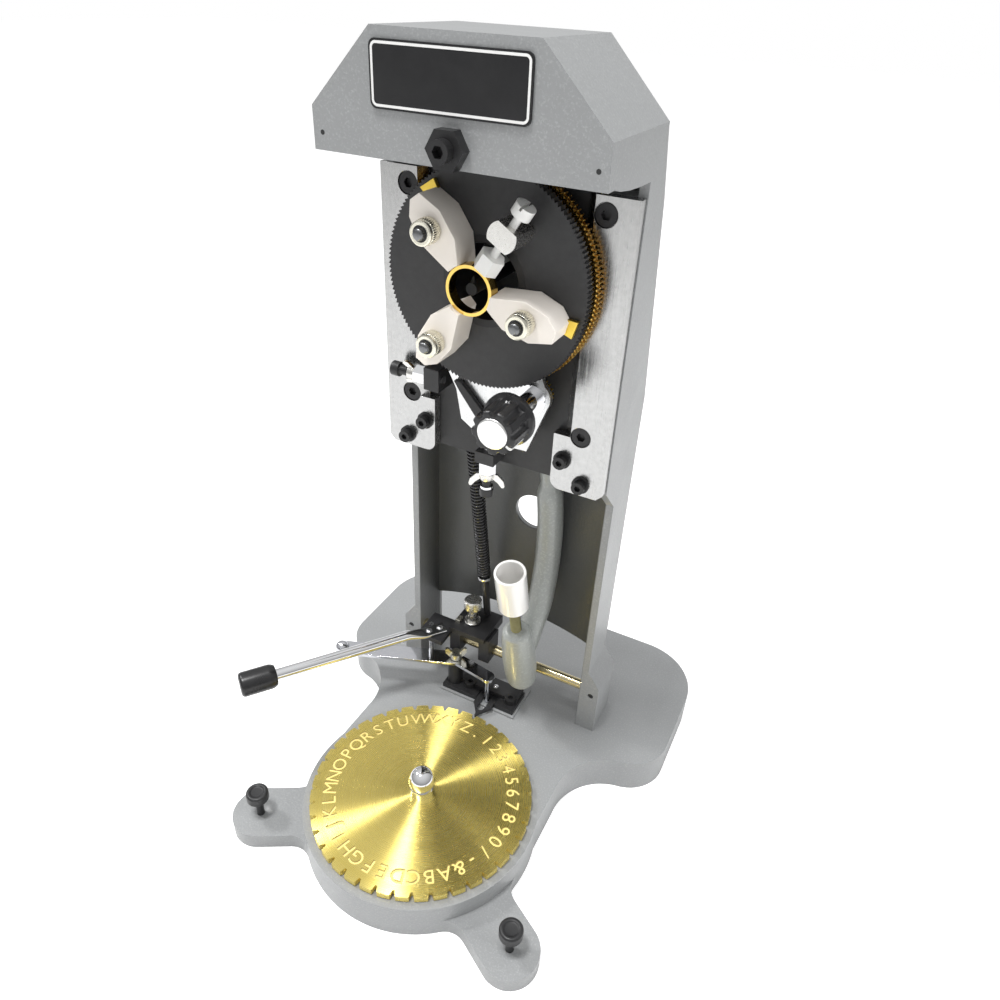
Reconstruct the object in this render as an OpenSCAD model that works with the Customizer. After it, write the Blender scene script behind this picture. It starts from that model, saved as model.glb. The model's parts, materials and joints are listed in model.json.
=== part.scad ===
// Ring engraving machine: a hand traced lever machine that letters the inside of finger rings
// Origin on the bench under the letter dial's axis, X to the right, Y to the back, Z up, millimetres

/* [Base casting] */
// Height of the base casting's flat top above the bench
base_h = 22; // [20:0.5:24]
// Overall width of the base across its two wings
wing_w = 218; // [206:1:230]
// Distance from the dial's axis to the front edge of the wings
wing_front = 74; // [72:0.5:77]
// Distance from the dial's axis to the back edge of the base
wing_back = 176; // [165:1:186]
// Plan radius of the two front corners of the wings
front_corner_r = 24; // [18:1:28]
// Plan radius of the two back corners of the wings
back_corner_r = 36; // [26:1:42]
// Width of the neck between the wings and the round table
neck_w = 125; // [116:1:127]
// Plan radius of the hollow between neck and wings
neck_fillet = 34; // [26:1:38]
// Width of the rim of the round table that shows round the dial
table_rim = 4; // [3:0.5:6]
// Distance from the dial's axis to each ear screw
ear_reach = 88.4; // [86:0.2:92]
// Angle of each ear below the cross direction
ear_angle = 30; // [24:1:36]
// Width of each ear across its rounded end
ear_w = 30; // [26:0.5:32]
// Thickness of each ear
ear_h = 10; // [8:0.5:13]
// Height of the raised pad under the index bracket
pad_h = 1.5; // [1:0.1:2]

/* [Letter dial] */
// Diameter of the letter dial
dial_d = 120; // [116:1:122]
// Thickness of the letter dial
dial_t = 3.6; // [3:0.1:4.4]
// Number of index notches round the dial
notch_count = 40; // [36:1:50]
// Depth of each index notch
notch_depth = 3; // [2:0.1:3.6]
// Width of each index notch at the rim
notch_w = 2.8; // [2.6:0.1:4]
// Diameter of the fixed pin on which the dial turns
dial_pin_d = 8; // [6:0.5:9]
// Diameter of the ball knob on the dial
ball_d = 14.5; // [13:0.5:17]

/* [Index lever] */
// Width of the pointed index finger
finger_w = 12; // [10:0.5:13]
// Thickness of the pointed index finger
finger_t = 2.2; // [1.8:0.1:2.4]
// Travel that the slot of the index finger allows
finger_travel = 4.5; // [4:0.1:5]
// Width of the index lever strip
lever_w = 10; // [8:0.5:11]
// Thickness of the index lever strip
lever_t = 2; // [1.6:0.1:2.6]
// Height of the underside of the index lever above the bench
lever_z = 43.5; // [41:0.5:45]
// Diameter of the ball on the end of the index lever
lever_ball_d = 9; // [7:0.5:10]

/* [Column and hood] */
// Width of the column and the hood over their sides
col_w = 117; // [115:0.5:120]
// Thickness of the column's side walls
col_wall = 4; // [3.5:0.1:4.5]
// Distance from the dial's axis to the front edge of the column's lower part
col_front = 87; // [86.5:0.1:87.5]
// Distance from the dial's axis to the back of the column
col_back = 113; // [112:0.5:116]
// Thickness of the column's back wall
back_wall = 3.5; // [3:0.1:4]
// Height at which the column steps forward
step_z = 183; // [178:1:186]
// Height at which the column's back starts to lean forward
bend_z = 232; // [222:1:240]
// Height of the arched opening in the foot of the back wall
arch_top = 75; // [68:1:84]
// Diameter of the round hole in the back wall
back_hole_d = 22; // [16:1:28]
// Height of the round hole in the back wall
back_hole_z = 148; // [135:1:160]
// Width of each foot outside the column's wall
foot_w = 7.5; // [6.5:0.5:10]
// Height of each foot's outer edge above the bench
foot_z = 57; // [55.5:0.5:62]
// Distance from the dial's axis to the front face of the hood
hood_front = 26; // [23:0.5:28]
// Height of the top of the hood above the bench
hood_top = 382; // [378:1:386]
// Height of the foot of the hood's slopes
hood_shoulder = 355.4; // [353:0.2:358]
// Width of the flat top of the hood
hood_flat_w = 64.2; // [60:0.2:70]
// Thickness of the hood's front wall and roof
hood_wall = 5; // [4:0.5:6]

/* [Face plates] */
// Thickness of the two bright face plates
plate_t = 5; // [4.8:0.1:5.6]
// Height of the lower edge of the face plates
plate_bottom = 197; // [196:0.5:199]
// Height of the upper edge of the face plates
plate_top = 330.6; // [329:0.2:333]
// Gap between the face plates in their lower part
gap_low = 63; // [60:0.5:65]
// Gap between the face plates beside the chuck
gap_up = 72.4; // [70:0.2:74]
// Width of the bevel on the inner edge of the face plates
plate_bevel = 3.5; // [2.5:0.1:4]

/* [Chuck] */
// Height of the chuck's axis above the bench
chuck_z = 293; // [292:0.2:294]
// Distance from the dial's axis to the front face of the ratchet disc
disc_front = 53.7; // [53:0.1:54.4]
// Diameter of the ratchet disc over its teeth
disc_d = 92.6; // [91:0.2:93.4]
// Thickness of the ratchet disc
disc_t = 4.5; // [4.2:0.1:4.8]
// Number of fine teeth on the ratchet disc
disc_teeth = 150; // [120:1:160]
// Bore of the hollow chuck spindle
bore_d = 31.6; // [30:0.2:32]
// Wall thickness of the hollow chuck spindle
spindle_wall = 3.2; // [2.8:0.1:3.4]
// Inner diameter of the finger ring in the chuck
ring_d = 17.9; // [16.5:0.1:18.2]
// Wall thickness of the finger ring
ring_wall = 1.35; // [1.1:0.05:1.6]
// Width of the finger ring
ring_w = 5.6; // [4:0.1:6.2]
// Thickness of each chuck jaw
jaw_t = 15; // [14:0.5:16]
// Travel of each chuck jaw away from the ring
jaw_travel = 5; // [3:0.5:5.5]
// Direction of the clamp screw round the chuck
clamp_angle = 58; // [55:1:61]
// Direction of the first jaw round the chuck
jaw_1_angle = 126; // [124:1:130]
// Direction of the second jaw round the chuck
jaw_2_angle = 239; // [236:1:243]
// Direction of the third jaw round the chuck
jaw_3_angle = 346; // [343:1:349]

/* [Gearing] */
// Module of the chuck gear and its pinion
gear_module = 0.65; // [0.645:0.005:0.66]
// Teeth of the chuck gear
gear_teeth = 144; // [142:1:146]
// Teeth of the pinion on the knob shaft
pinion_teeth = 20; // [18:1:21]
// Thickness of the chuck gear
gear_t = 3.6; // [3.2:0.1:3.8]
// Direction from the chuck's axis to the knob's axis
knob_angle = -63.9; // [-66:0.1:-62]
// Diameter of the knob shaft
knob_shaft_d = 5; // [4.5:0.1:5.5]
// Diameter of the control knob over its flutes
knob_d = 20; // [18:0.5:22]
// Distance from the dial's axis to the front face of the control knob
knob_front = 20; // [18:0.5:22]

/* [Tracer] */
// Diameter of the cross shaft
shaft_d = 6; // [5.6:0.1:6.4]
// Height of the cross shaft's axis above the bench
shaft_z = 50; // [49.5:0.1:50.5]
// Distance from the dial's axis to the cross shaft's axis
shaft_y = 93; // [92.5:0.1:93.5]
// Diameter of the tracer's handle rod
handle_d = 6.4; // [4:0.2:7]
// Length of the tracer's handle from its root to the end of the grip
handle_len = 130; // [118:1:136]
// Diameter of the tracer's grip
grip_d = 14; // [10:0.5:15]
// Length of the tracer's grip
grip_len = 20; // [18:1:32]
// Diameter of the link rod between tracer and carriage
link_d = 4.4; // [4:0.1:4.5]
// Outer diameter of the coil spring on the link rod
spring_d = 7.4; // [7.2:0.1:8]
// Wire diameter of the coil spring
spring_wire = 1.1; // [0.9:0.05:1.15]
// Curls of the coil spring
spring_curls = 43; // [36:1:46]

/* [Counterweight arm] */
// Distance of the arm's plane to the right of the dial's axis
arm_x = 20; // [19:0.2:21]
// Greatest diameter of the arm's front bulb
bulb_d = 19.4; // [18:0.2:20]
// Diameter of the arm's rear leg
leg_d = 14; // [12:0.5:14.6]
// Diameter of the arm's thin upper rod
arm_rod_d = 9.6; // [8:0.2:10]
// Outer diameter of the weight cup
cup_d = 16.6; // [15:0.2:17.4]
// Depth of the weight cup over its outside
cup_h = 28; // [27:0.5:36]
// Wall thickness of the weight cup
cup_wall = 1.4; // [1.2:0.1:1.8]
// Diameter of the cutter bar
cutter_d = 5; // [4:0.2:6]

/* [Clearances] */
// Radial clearance of running shafts
run = 0.05; // [0.03:0.01:0.08]
// Radial clearance of seated pins and screws
fit = 0.02; // [0.01:0.01:0.04]
// Gap between faces that slide or turn past each other
slip = 0.4; // [0.32:0.02:0.5]

/* [Node] */
// Piece to draw, or all of them

/* [Hidden] */
$fn = 64;
e = 0.5;
table_r = dial_d / 2 + table_rim;
hw = col_w / 2;
hin = hw - col_wall;
dial_z0 = base_h + 0.5;
dial_top = dial_z0 + dial_t;
pad_top = base_h + pad_h;
dial_r = dial_d / 2;
pin_r = dial_pin_d / 2;
ear_pos = [ear_reach * cos(ear_angle), -ear_reach * sin(ear_angle)];
hood_bottom = hood_shoulder - 15.1;
fx = wing_w / 2 - front_corner_r;
bx = wing_w / 2 - back_corner_r;
cyf = wing_front + front_corner_r;
nx = neck_w / 2 + neck_fillet;
nyc = cyf - sqrt(pow(front_corner_r + neck_fillet, 2) - pow(nx - fx, 2));
nt = front_corner_r / (front_corner_r + neck_fillet);
ntx = fx + (nx - fx) * nt;
nty = cyf + (nyc - cyf) * nt;
spin_ri = bore_d / 2;
spin_ro = spin_ri + spindle_wall;
disc_r = disc_d / 2;
yoke_y0 = disc_front + disc_t + slip;
yoke_t = 3;
screw_y = yoke_y0 + yoke_t / 2;
gear_y0 = yoke_y0 + yoke_t + slip;
gear_y1 = gear_y0 + gear_t;
plate_front = gear_y1 + 1.3;
plate_back = plate_front + plate_t;
carriage_front = plate_back + 0.3;
carriage_t = 5;
carriage_back = carriage_front + carriage_t;
carriage_hw = 41;
nut_y0 = carriage_back + slip;
nut_y1 = nut_y0 + 3;
gear_r = gear_module * gear_teeth / 2;
pinion_r = gear_module * pinion_teeth / 2;
centre_d = gear_r + pinion_r + 0.15;
kx = centre_d * cos(knob_angle);
kz = centre_d * sin(knob_angle);
k = centre_d / 53.4;
knob_len = 16.5;
knob_back = knob_front + knob_len;
jaw_back = disc_front - 0.3;
jaw_front = jaw_back - jaw_t;
jaw_angles = [jaw_1_angle, jaw_2_angle, jaw_3_angle];
stud_u = 27;
stud_r = 2.2;
ring_ri = ring_d / 2;
ring_ro = ring_ri + ring_wall;
ring_y0 = jaw_front + 2.2;
ring_y1 = ring_y0 + ring_w;
clamp_y = ring_y0 + 2.8;
clamp_post_u = 27.8;
finger_tip_y = dial_r + 0.4;
finger_z0 = pad_top + 0.3;
lever_pin = [0, dial_r + 15.5];
lever_pivot = [-24.5, dial_r + 19.5];
lever_end = [-91, dial_r - 7.2];
step_up_z = 226;
flange_x = 41.4;
shaft_r = shaft_d / 2;
arm_travel = 4.8;
arm_top_y = nut_y1 + slip + 0.6 + arm_rod_d / 2;
back_in = arm_top_y + arm_rod_d / 2 + arm_travel + 1.4;
col_in = col_back - back_wall;
lean = (col_in - back_in) / (chuck_z - bend_z);
rear_up_z = 326;
rear_up_in = back_in - lean * (rear_up_z - chuck_z);
hood_rear = 85.5;
hood_rear_z = 354;
set_x = hw + foot_w - 4.5;
link_x = -15.5;
link_lean = 10.5;
block_top = 66;
link_foot_y = shaft_y + 10;
link_foot_z = block_top + 0.3;
link_top = 205 - block_top;
washer_at = 37.5;
lug_z0 = 201;
spring_r = (spring_d - spring_wire) / 2;
handle_root = [-29.5, 88.3];
handle_dir = 233.3;
handle_z = block_top - 3 + handle_d / 2 + 0.05;
thumb_pos = [-21, 93.5];
stylus_pos = [-43.6, dial_r + 22];
bulb_foot = [arm_x, 81.6, 45.4];
bulb_lean = 15;
bulb_len = 64;
stud_len = 15.5;

// Flat outline in X and Z drawn thick between two depths
module slab_y(y0, y1) translate([0, y1, 0]) rotate([90, 0, 0]) linear_extrude(y1 - y0) children();
// Flat outline in Y and Z drawn thick between two widths
module slab_x(x0, x1) translate([x0, 0, 0]) rotate([90, 0, 90]) linear_extrude(x1 - x0) children();
// Round bar along Y at a place in X and Z
module bar_y(r, y0, y1, x = 0, z = 0) translate([x, y0, z]) rotate([-90, 0, 0]) cylinder(r = r, h = y1 - y0);
// Round bar along X at a place in Y and Z
module bar_x(r, x0, x1, y = 0, z = 0) translate([x0, y, z]) rotate([0, 90, 0]) cylinder(r = r, h = x1 - x0);
// Round bar along Z at a place in X and Y
module bar_z(r, z0, z1, x = 0, y = 0) translate([x, y, z0]) cylinder(r = r, h = z1 - z0);
// Straight round bar between two points of the arm's plane
module leg(a, b, r) {
  d = b - a;
  translate(a) rotate([-atan2(d[1], d[2]), 0, 0]) cylinder(r = r, h = norm(d));
}
// Places a piece on the chuck's axis, turned to a direction round it
module at_chuck(a = 0) translate([0, 0, chuck_z]) rotate([0, -a, 0]) children();
// Places a piece on the leaning link rod
module at_link() translate([link_x, link_foot_y, link_foot_z]) rotate([link_lean, 0, 0]) children();
// Places a piece on the leaning front bulb of the arm
module at_bulb() translate(bulb_foot) rotate([bulb_lean, 0, 0]) children();

// Base

module wing_outline() {
  for (s = [-1, 1]) {
    translate([s * fx, cyf]) circle(r = front_corner_r);
    translate([s * bx, wing_back - back_corner_r]) circle(r = back_corner_r);
  }
  polygon([[-fx, wing_front], [fx, wing_front], [wing_w / 2, cyf],
    [wing_w / 2, wing_back - back_corner_r], [bx, wing_back], [-bx, wing_back],
    [-wing_w / 2, wing_back - back_corner_r], [-wing_w / 2, cyf]]);
}

module neck_outline() difference() {
  polygon([[neck_w / 2, 0], [neck_w / 2, nyc], [nx, nyc], [ntx, nty], [ntx, cyf],
    [-ntx, cyf], [-ntx, nty], [-nx, nyc], [-neck_w / 2, nyc], [-neck_w / 2, 0]]);
  for (s = [-1, 1]) translate([s * nx, nyc]) circle(r = neck_fillet + 0.1);
}

module ear_outline() {
  h = ear_w / 2;
  f = 11;
  uc = sqrt(pow(table_r + f, 2) - pow(h + f, 2));
  q = table_r / (table_r + f);
  translate([0, -h]) square([ear_reach, ear_w]);
  translate([ear_reach, 0]) circle(r = h);
  for (s = [-1, 1]) difference() {
    polygon([[uc * q * 0.8, 0], [uc, 0], [uc, s * (h + f)], [uc * q, s * (h + f) * q]]);
    translate([uc, s * (h + f)]) circle(r = f);
  }
}

module base_casting() color("#8f979c") difference() {
  union() {
    linear_extrude(base_h) {
      wing_outline();
      neck_outline();
      circle(r = table_r);
    }
    for (s = [0, 1]) mirror([s, 0, 0]) rotate([0, 0, -ear_angle]) linear_extrude(ear_h) ear_outline();
    translate([-31, dial_r + 11.5, base_h - e]) cube([51, 26, pad_h + e]);
  }
  bar_z(pin_r + fit, base_h - 14, base_h + e);
  for (s = [-1, 1]) {
    translate([s * ear_pos[0], ear_pos[1], ear_h + 20.4]) sphere(r = 21.4);
    bar_z(2 + run, ear_h - 7, ear_h + e, s * ear_pos[0], ear_pos[1]);
    bar_z(2 + fit, base_h - 4, pad_top + e, s * 14, dial_r + 20);
    for (y = [col_front + 5, col_back - 6]) {
      bar_z(2.5 + fit, -e, base_h + e, s * (hw + 1), y);
      bar_z(5, -e, 7, s * (hw + 1), y);
    }
  }
}

module column_bolts() color("#2a2a2c") for (s = [-1, 1]) for (y = [col_front + 5, col_back - 6]) {
  bar_z(2.5, 4, base_h + 12, s * (hw + 1), y);
  bar_z(4.2, 2, 7 - fit, s * (hw + 1), y);
}

// Column and hood

module col_side() polygon([[col_front, base_h], [col_front, step_z],
  [plate_back, step_z + col_front - plate_back], [plate_back, hood_bottom - 3.8], [60, hood_bottom - 3.5],
  [48, hood_bottom - 2.7], [38, hood_bottom - 1.4], [hood_front + hood_wall + 0.6, hood_bottom + 0.3],
  [plate_back, hood_bottom + 8], [hood_rear - 12, hood_rear_z],
  [hood_rear, hood_rear_z], [rear_up_in + back_wall, rear_up_z], [col_back, bend_z], [col_back, base_h]]);

module channel_side() polygon([[hood_front + hood_wall, base_h - e], [hood_front + hood_wall, hood_bottom + 8],
  [hood_rear - back_wall, hood_bottom + 8], [rear_up_in, rear_up_z], [col_in, bend_z], [col_in, base_h - e]]);

module foot_outline() polygon([[hw - 1, base_h], [hw + foot_w, base_h], [hw + foot_w, foot_z],
  [hw - 1, foot_z + 1.6 * foot_w]]);

module column_casting() color("#8f979c") difference() {
  union() {
    difference() {
      union() {
        slab_x(-hw, hw) col_side();
        slab_y(hood_front, hood_rear) polygon([[-hw, hood_bottom], [hw, hood_bottom], [hw, hood_shoulder],
          [hood_flat_w / 2, hood_top], [-hood_flat_w / 2, hood_top], [-hw, hood_shoulder]]);
        for (s = [0, 1]) mirror([s, 0, 0]) slab_y(col_front, col_back) foot_outline();
      }
      slab_x(-hin, hin) channel_side();
      slab_y(hood_front + hood_wall, hood_rear - back_wall) polygon([[-hin, hood_bottom - e],
        [hin, hood_bottom - e], [hin, hood_shoulder - 2], [hood_flat_w / 2 - 2, hood_top - hood_wall],
        [-hood_flat_w / 2 + 2, hood_top - hood_wall], [-hin, hood_shoulder - 2]]);
    }
    for (s = [0, 1]) mirror([s, 0, 0])
      translate([flange_x, plate_back, plate_bottom + 1]) cube([hin - flange_x + 1, 11, plate_top - plate_bottom - 1]);
  }
  slab_y(col_in - 2, col_back + 1) intersection() {
    translate([-hin, base_h - e]) square([2 * hin, arch_top - base_h + 2]);
    translate([0, arch_top - 150]) circle(r = 150);
  }
  bar_y(back_hole_d / 2, col_in - 2, col_back + 1, 7, back_hole_z);
  bar_y(4 + fit, hood_front - e, hood_front + hood_wall + e, 0, 347);
  for (s = [-1, 1]) {
    bar_x(shaft_r + fit, min(s * (hin - 1), s * (hw + foot_w - 2)), max(s * (hin - 1), s * (hw + foot_w - 2)), shaft_y, shaft_z);
    bar_y(1.7 + fit, col_front - e, shaft_y, s * set_x, shaft_z);
    for (y = [col_front + 5, col_back - 6]) bar_z(2.5 + fit, base_h - e, base_h + 13, s * (hw + 1), y);
    for (z = [227, 323.5]) bar_y(2.4 + fit, plate_back - e, plate_back + 8, s * 44.4, z);
    bar_y(1.7 + fit, plate_back - e, plate_back + 7, s * 47, 203);
  }
}

module shaft_set_screws() color("#2a2a2c") for (s = [-1, 1])
  bar_y(1.7, col_front + 0.6, shaft_y - shaft_r - fit, s * set_x, shaft_z);

module nameplate() color("#161718") slab_y(hood_front - 0.8, hood_front) translate([-1, 367.5]) {
  translate([-31, -8.2]) square([62, 16.4]);
  translate([-28.5, -10.7]) square([57, 21.4]);
  for (s = [-1, 1]) for (t = [-1, 1]) translate([s * 28.5, t * 8.2]) circle(r = 2.5);
}

module hood_screw() color("#2b2b2d") difference() {
  bar_y(4, hood_front - 9, hood_front + hood_wall + 5, 0, 347);
  slab_y(hood_front - 10, hood_front - 5) translate([0, 347]) circle(r = 2.3, $fn = 6);
}

module hood_lock_nut() color("#2b2b2d") difference() {
  slab_y(hood_front - 5, hood_front) translate([0, 347]) circle(r = 7.5, $fn = 6);
  bar_y(4 + fit, hood_front - 6, hood_front + 1, 0, 347);
}

// Face plates

module face_plate() difference() {
  slab_y(plate_front, plate_back) difference() {
    union() {
      polygon([[gap_low / 2 + 5, plate_bottom], [hw - 3.5, plate_bottom], [hw - 0.5, plate_bottom + 3],
        [hw - 0.5, plate_top], [gap_up / 2, plate_top], [gap_up / 2, step_up_z],
        [gap_low / 2, step_up_z], [gap_low / 2, plate_bottom + 5]]);
      translate([gap_low / 2 + 5, plate_bottom + 5]) circle(r = 5);
    }
    for (z = [227, 323.5]) translate([44.4, z]) circle(r = 2.4 + run);
    for (p = [[36.8, 213.4], [47, 203]]) translate(p) circle(r = 1.7 + run);
  }
  for (z = [227, 323.5]) bar_y(4.9, plate_front - e, plate_front + 4, 44.4, z);
  translate([gap_up / 2, plate_front, step_up_z]) linear_extrude(plate_top - step_up_z + e)
    polygon([[-e, -e], [plate_bevel, -e], [plate_bevel, 0], [0, plate_bevel], [-e, plate_bevel]]);
}

module face_plate_right() color("#c9cccf") face_plate();
module face_plate_left() color("#c9cccf") mirror([1, 0, 0]) face_plate();

module plate_cap_screws() color("#1c1c1e") for (s = [-1, 1]) for (z = [227, 323.5]) difference() {
  union() {
    bar_y(4.5, plate_front + 0.4, plate_front + 4 - fit, s * 44.4, z);
    bar_y(2.4, plate_front + 3, plate_back + 7, s * 44.4, z);
  }
  slab_y(plate_front, plate_front + 2.4) translate([s * 44.4, z]) circle(r = 2.2, $fn = 6);
}

module gib_screws() color("#c0c2c4") for (s = [-1, 1]) for (p = [[36.8, 213.4], [47, 203]]) difference() {
  union() {
    bar_y(4.2, plate_front - 1, plate_front, s * p[0], p[1]);
    bar_y(3.1, plate_front - 4.4, plate_front - 0.9, s * p[0], p[1]);
    bar_y(1.7, plate_front - 2, plate_back + (p[0] < flange_x ? 0 : 6), s * p[0], p[1]);
  }
  slab_y(plate_front - 5, plate_front - 2.6) translate([s * p[0], p[1]]) circle(r = 1.6, $fn = 6);
}

// Carriage

module carriage_plate() color("#4a4d50") difference() {
  union() {
    slab_y(carriage_front, carriage_back) translate([-carriage_hw, 199.5]) square([2 * carriage_hw, 134]);
    translate([-22, carriage_back - e, lug_z0]) cube([13, 11 + e, 14]);
    translate([-5, yoke_y0 + 1, 203]) cube([10, carriage_front - yoke_y0, 6]);
  }
  bar_y(spin_ro + 3 + fit, carriage_front - e, carriage_back + e, 0, chuck_z);
  at_link() bar_z(link_d / 2 + fit, 100, link_top + 0.5);
  bar_z(2.1 + fit, 200, 210, 0, yoke_y0 + 5);
  bar_y(2 + fit, carriage_front - e, carriage_front + 3, -26.5, chuck_z - 51 * k);
}

module spindle_bush() color("#b08d4a") difference() {
  bar_y(spin_ro + 3, carriage_front - 1, carriage_back, 0, chuck_z);
  bar_y(spin_ro + run, carriage_front - 2, carriage_back + 1, 0, chuck_z);
}

module stop_block() color("#1d1d1f") difference() {
  union() {
    translate([-31, yoke_y0 - 2.5, chuck_z - 57 * k]) cube([8, carriage_front - yoke_y0 + 2.5, 11]);
    bar_y(2, carriage_front - 2, carriage_front + 2.5, -26.5, chuck_z - 51 * k);
  }
  bar_x(2.1 + fit, -32, -22, screw_y, chuck_z - 52 * k);
}

module side_screw() color("#bfc1c3") {
  bar_x(2.1, -47, -22.6, screw_y, chuck_z - 52 * k);
  translate([-37, screw_y, chuck_z - 52 * k]) rotate([0, 90, 0]) cylinder(r = 4.6, h = 6 - fit, $fn = 6);
  bar_x(3.2, -50, -46, screw_y, chuck_z - 52 * k);
}

module wing_nut() difference() {
  union() {
    cylinder(r = 3.3, h = 3.6);
    for (s = [0, 1]) mirror([s, 0, 0]) rotate([90, 0, 0]) translate([0, 0, -0.8]) linear_extrude(1.6)
      polygon([[0, 0.5], [3, 0.4], [5.9, 3.2], [6.2, 5.6], [4.7, 6.3], [2.6, 3.4], [0, 3.2]]);
  }
  translate([0, 0, -1]) cylinder(r = 2.1 + run, h = 14);
}

module side_wing_nut() color("#c6c8ca") translate([-37 - slip, screw_y, chuck_z - 52 * k]) rotate([15, 0, 0])
  rotate([0, -90, 0]) wing_nut();

module low_screw() color("#bfc1c3") {
  bar_z(2.1, 189, 211, 0, yoke_y0 + 5);
  translate([0, yoke_y0 + 5, 197]) cylinder(r = 4.6, h = 6 - fit, $fn = 6);
  bar_z(3.2, 184, 189.5, 0, yoke_y0 + 5);
}

module low_wing_nut() color("#c6c8ca") translate([0, yoke_y0 + 5, 197 - slip]) rotate([180, 0, 20]) wing_nut();

// Link rod and spring

module link_rod() color("#1b1b1d") at_link() {
  translate([0, 0, link_d / 2]) sphere(r = link_d / 2);
  bar_z(link_d / 2, link_d / 2, link_top);
  bar_z(spring_d / 2 + 0.5, washer_at - 1.6, washer_at);
}

spring_z0 = washer_at + spring_wire / 2 + 0.35;
spring_z1 = (lug_z0 - link_foot_z) / cos(link_lean) - spring_wire / 2 - 1.2;
spring_n = spring_curls * 8;
spring_pitch = (spring_z1 - spring_z0) / spring_curls;
function coil(i) = [spring_r * cos(45 * i), spring_r * sin(45 * i), spring_z0 + (spring_z1 - spring_z0) * i / spring_n];
function tangent(i) = [-sin(45 * i), cos(45 * i), 0];
function outward(i) = [cos(45 * i), sin(45 * i), 0];
function tube_ring(p, a) = [for (j = [0:5]) p + spring_wire / 2 * (cos(60 * j) * a + sin(60 * j) * [0, 0, 1])];
spring_rings = concat([tube_ring(coil(0) - spring_wire * tangent(0), outward(0))],
  [for (i = [0:spring_n]) tube_ring(coil(i), outward(i))],
  [tube_ring(coil(spring_n) + spring_wire * tangent(spring_n), outward(spring_n))]);
spring_m = spring_n + 3;
spring_points = [for (r = spring_rings) each r];
spring_faces = concat([for (i = [0:spring_m - 2]) for (j = [0:5]) [i * 6 + j, i * 6 + (j + 1) % 6, (i + 1) * 6 + j]],
  [for (i = [0:spring_m - 2]) for (j = [0:5]) [i * 6 + (j + 1) % 6, (i + 1) * 6 + (j + 1) % 6, (i + 1) * 6 + j]],
  [for (j = [1:4]) [0, j + 1, j]],
  [for (j = [1:4]) [(spring_m - 1) * 6, (spring_m - 1) * 6 + j, (spring_m - 1) * 6 + j + 1]]);
spring_gap = min([for (j = [0:5]) for (m = [0:5]) for (i = [8:8]) norm(spring_rings[i + 1][j] - spring_rings[i + 9][m])]);
spring_end_gap = min([for (j = [0:5]) for (m = [0:5]) for (i = [6:10]) norm(spring_rings[0][j] - spring_rings[i][m])]);
echo(spring_self_gap = min(spring_gap, spring_end_gap));

module link_spring() color("#222224") at_link() polyhedron(spring_points, spring_faces, convexity = 10);

// Swing yoke

module swing_yoke() color("#d3d5d7") difference() {
  at_chuck() slab_y(yoke_y0, yoke_y0 + yoke_t) {
    circle(r = spin_ro + 6);
    polygon(k * [[-16, -12], [-19, -46], [-15, -53.5], [-12.2, -68], [-6, -72], [10, -76], [22, -75.5],
      [kx / k + 8, kz / k - 1], [16, -12]]);
    translate([kx, kz]) circle(r = 8);
  }
  bar_y(spin_ro + run, yoke_y0 - 1, yoke_y0 + yoke_t + 1, 0, chuck_z);
  bar_y(4.5 + fit, yoke_y0 - 1, yoke_y0 + yoke_t + 1, kx, chuck_z + kz);
  bar_y(2 + run, yoke_y0 - 1, yoke_y0 + yoke_t + 1, 6, chuck_z - 70 * k);
}

module knob_sleeve() color("#d8dadb") difference() {
  union() {
    bar_y(4.5, knob_back + slip, yoke_y0 + yoke_t, kx, chuck_z + kz);
    bar_y(6.5, yoke_y0 - 1.6, yoke_y0, kx, chuck_z + kz);
  }
  bar_y(knob_shaft_d / 2 + run, knob_back - 1, gear_y1, kx, chuck_z + kz);
}

module pawl() color("#2a2b2d") difference() {
  at_chuck() {
    slab_y(yoke_y0 - slip - 2.6, yoke_y0 - slip) {
      polygon(k * [[-14.6, -48.2], [-11, -48.4], [8.6, -68.4], [3.4, -71.6], [-11.8, -52.4]]);
      translate([6, -70 * k]) circle(r = 3.6);
    }
    bar_y(2, yoke_y0 - slip - 1, yoke_y0 + yoke_t + slip, 6, -70 * k);
  }
  bar_y(disc_r + 0.5, yoke_y0 - 6, yoke_y0 - slip + 1, 0, chuck_z);
}

// Chuck

module chuck_spindle() color("#8a8d90") difference() {
  bar_y(spin_ro, disc_front, nut_y1, 0, chuck_z);
  bar_y(spin_ri, disc_front - 1, nut_y1 + 1, 0, chuck_z);
}

module ratchet_disc() color("#3c3e41") difference() {
  at_chuck() slab_y(disc_front, disc_front + disc_t) difference() {
    polygon([for (i = [0:disc_teeth - 1]) for (m = [0, 1])
      (disc_r - m * 1.1) * [cos(360 * (i + 0.2 * m) / disc_teeth), sin(360 * (i + 0.2 * m) / disc_teeth)]]);
    circle(r = spin_ro + fit);
  }
  for (a = jaw_angles) at_chuck(a) {
    translate([stud_u - stud_r - 0.4, disc_front - 1, -stud_r - 0.35])
      cube([jaw_travel + 2 * stud_r + 0.8, disc_t + 2, 2 * stud_r + 0.7]);
    translate([stud_u - 4.1, disc_front + disc_t - 2.2, -4.1]) cube([jaw_travel + 8.2, 3, 8.2]);
  }
}

function tooth(n, r, i, half, dr) = let (a = 360 / n) (r + dr) * [cos(a * (i + half)), sin(a * (i + half))];
function gear_outline(n, r) = [for (i = [0:n - 1]) each [tooth(n, r, i, -0.29, -1.25 * gear_module),
  tooth(n, r, i, -0.1, 0.8 * gear_module), tooth(n, r, i, 0.1, 0.8 * gear_module), tooth(n, r, i, 0.29, -1.25 * gear_module)]];

module chuck_gear() color("#c79a3e") difference() {
  at_chuck(knob_angle + 180 / gear_teeth) slab_y(gear_y0, gear_y1) polygon(gear_outline(gear_teeth, gear_r));
  bar_y(spin_ro + fit, gear_y0 - 1, gear_y1 + 1, 0, chuck_z);
}

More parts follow.
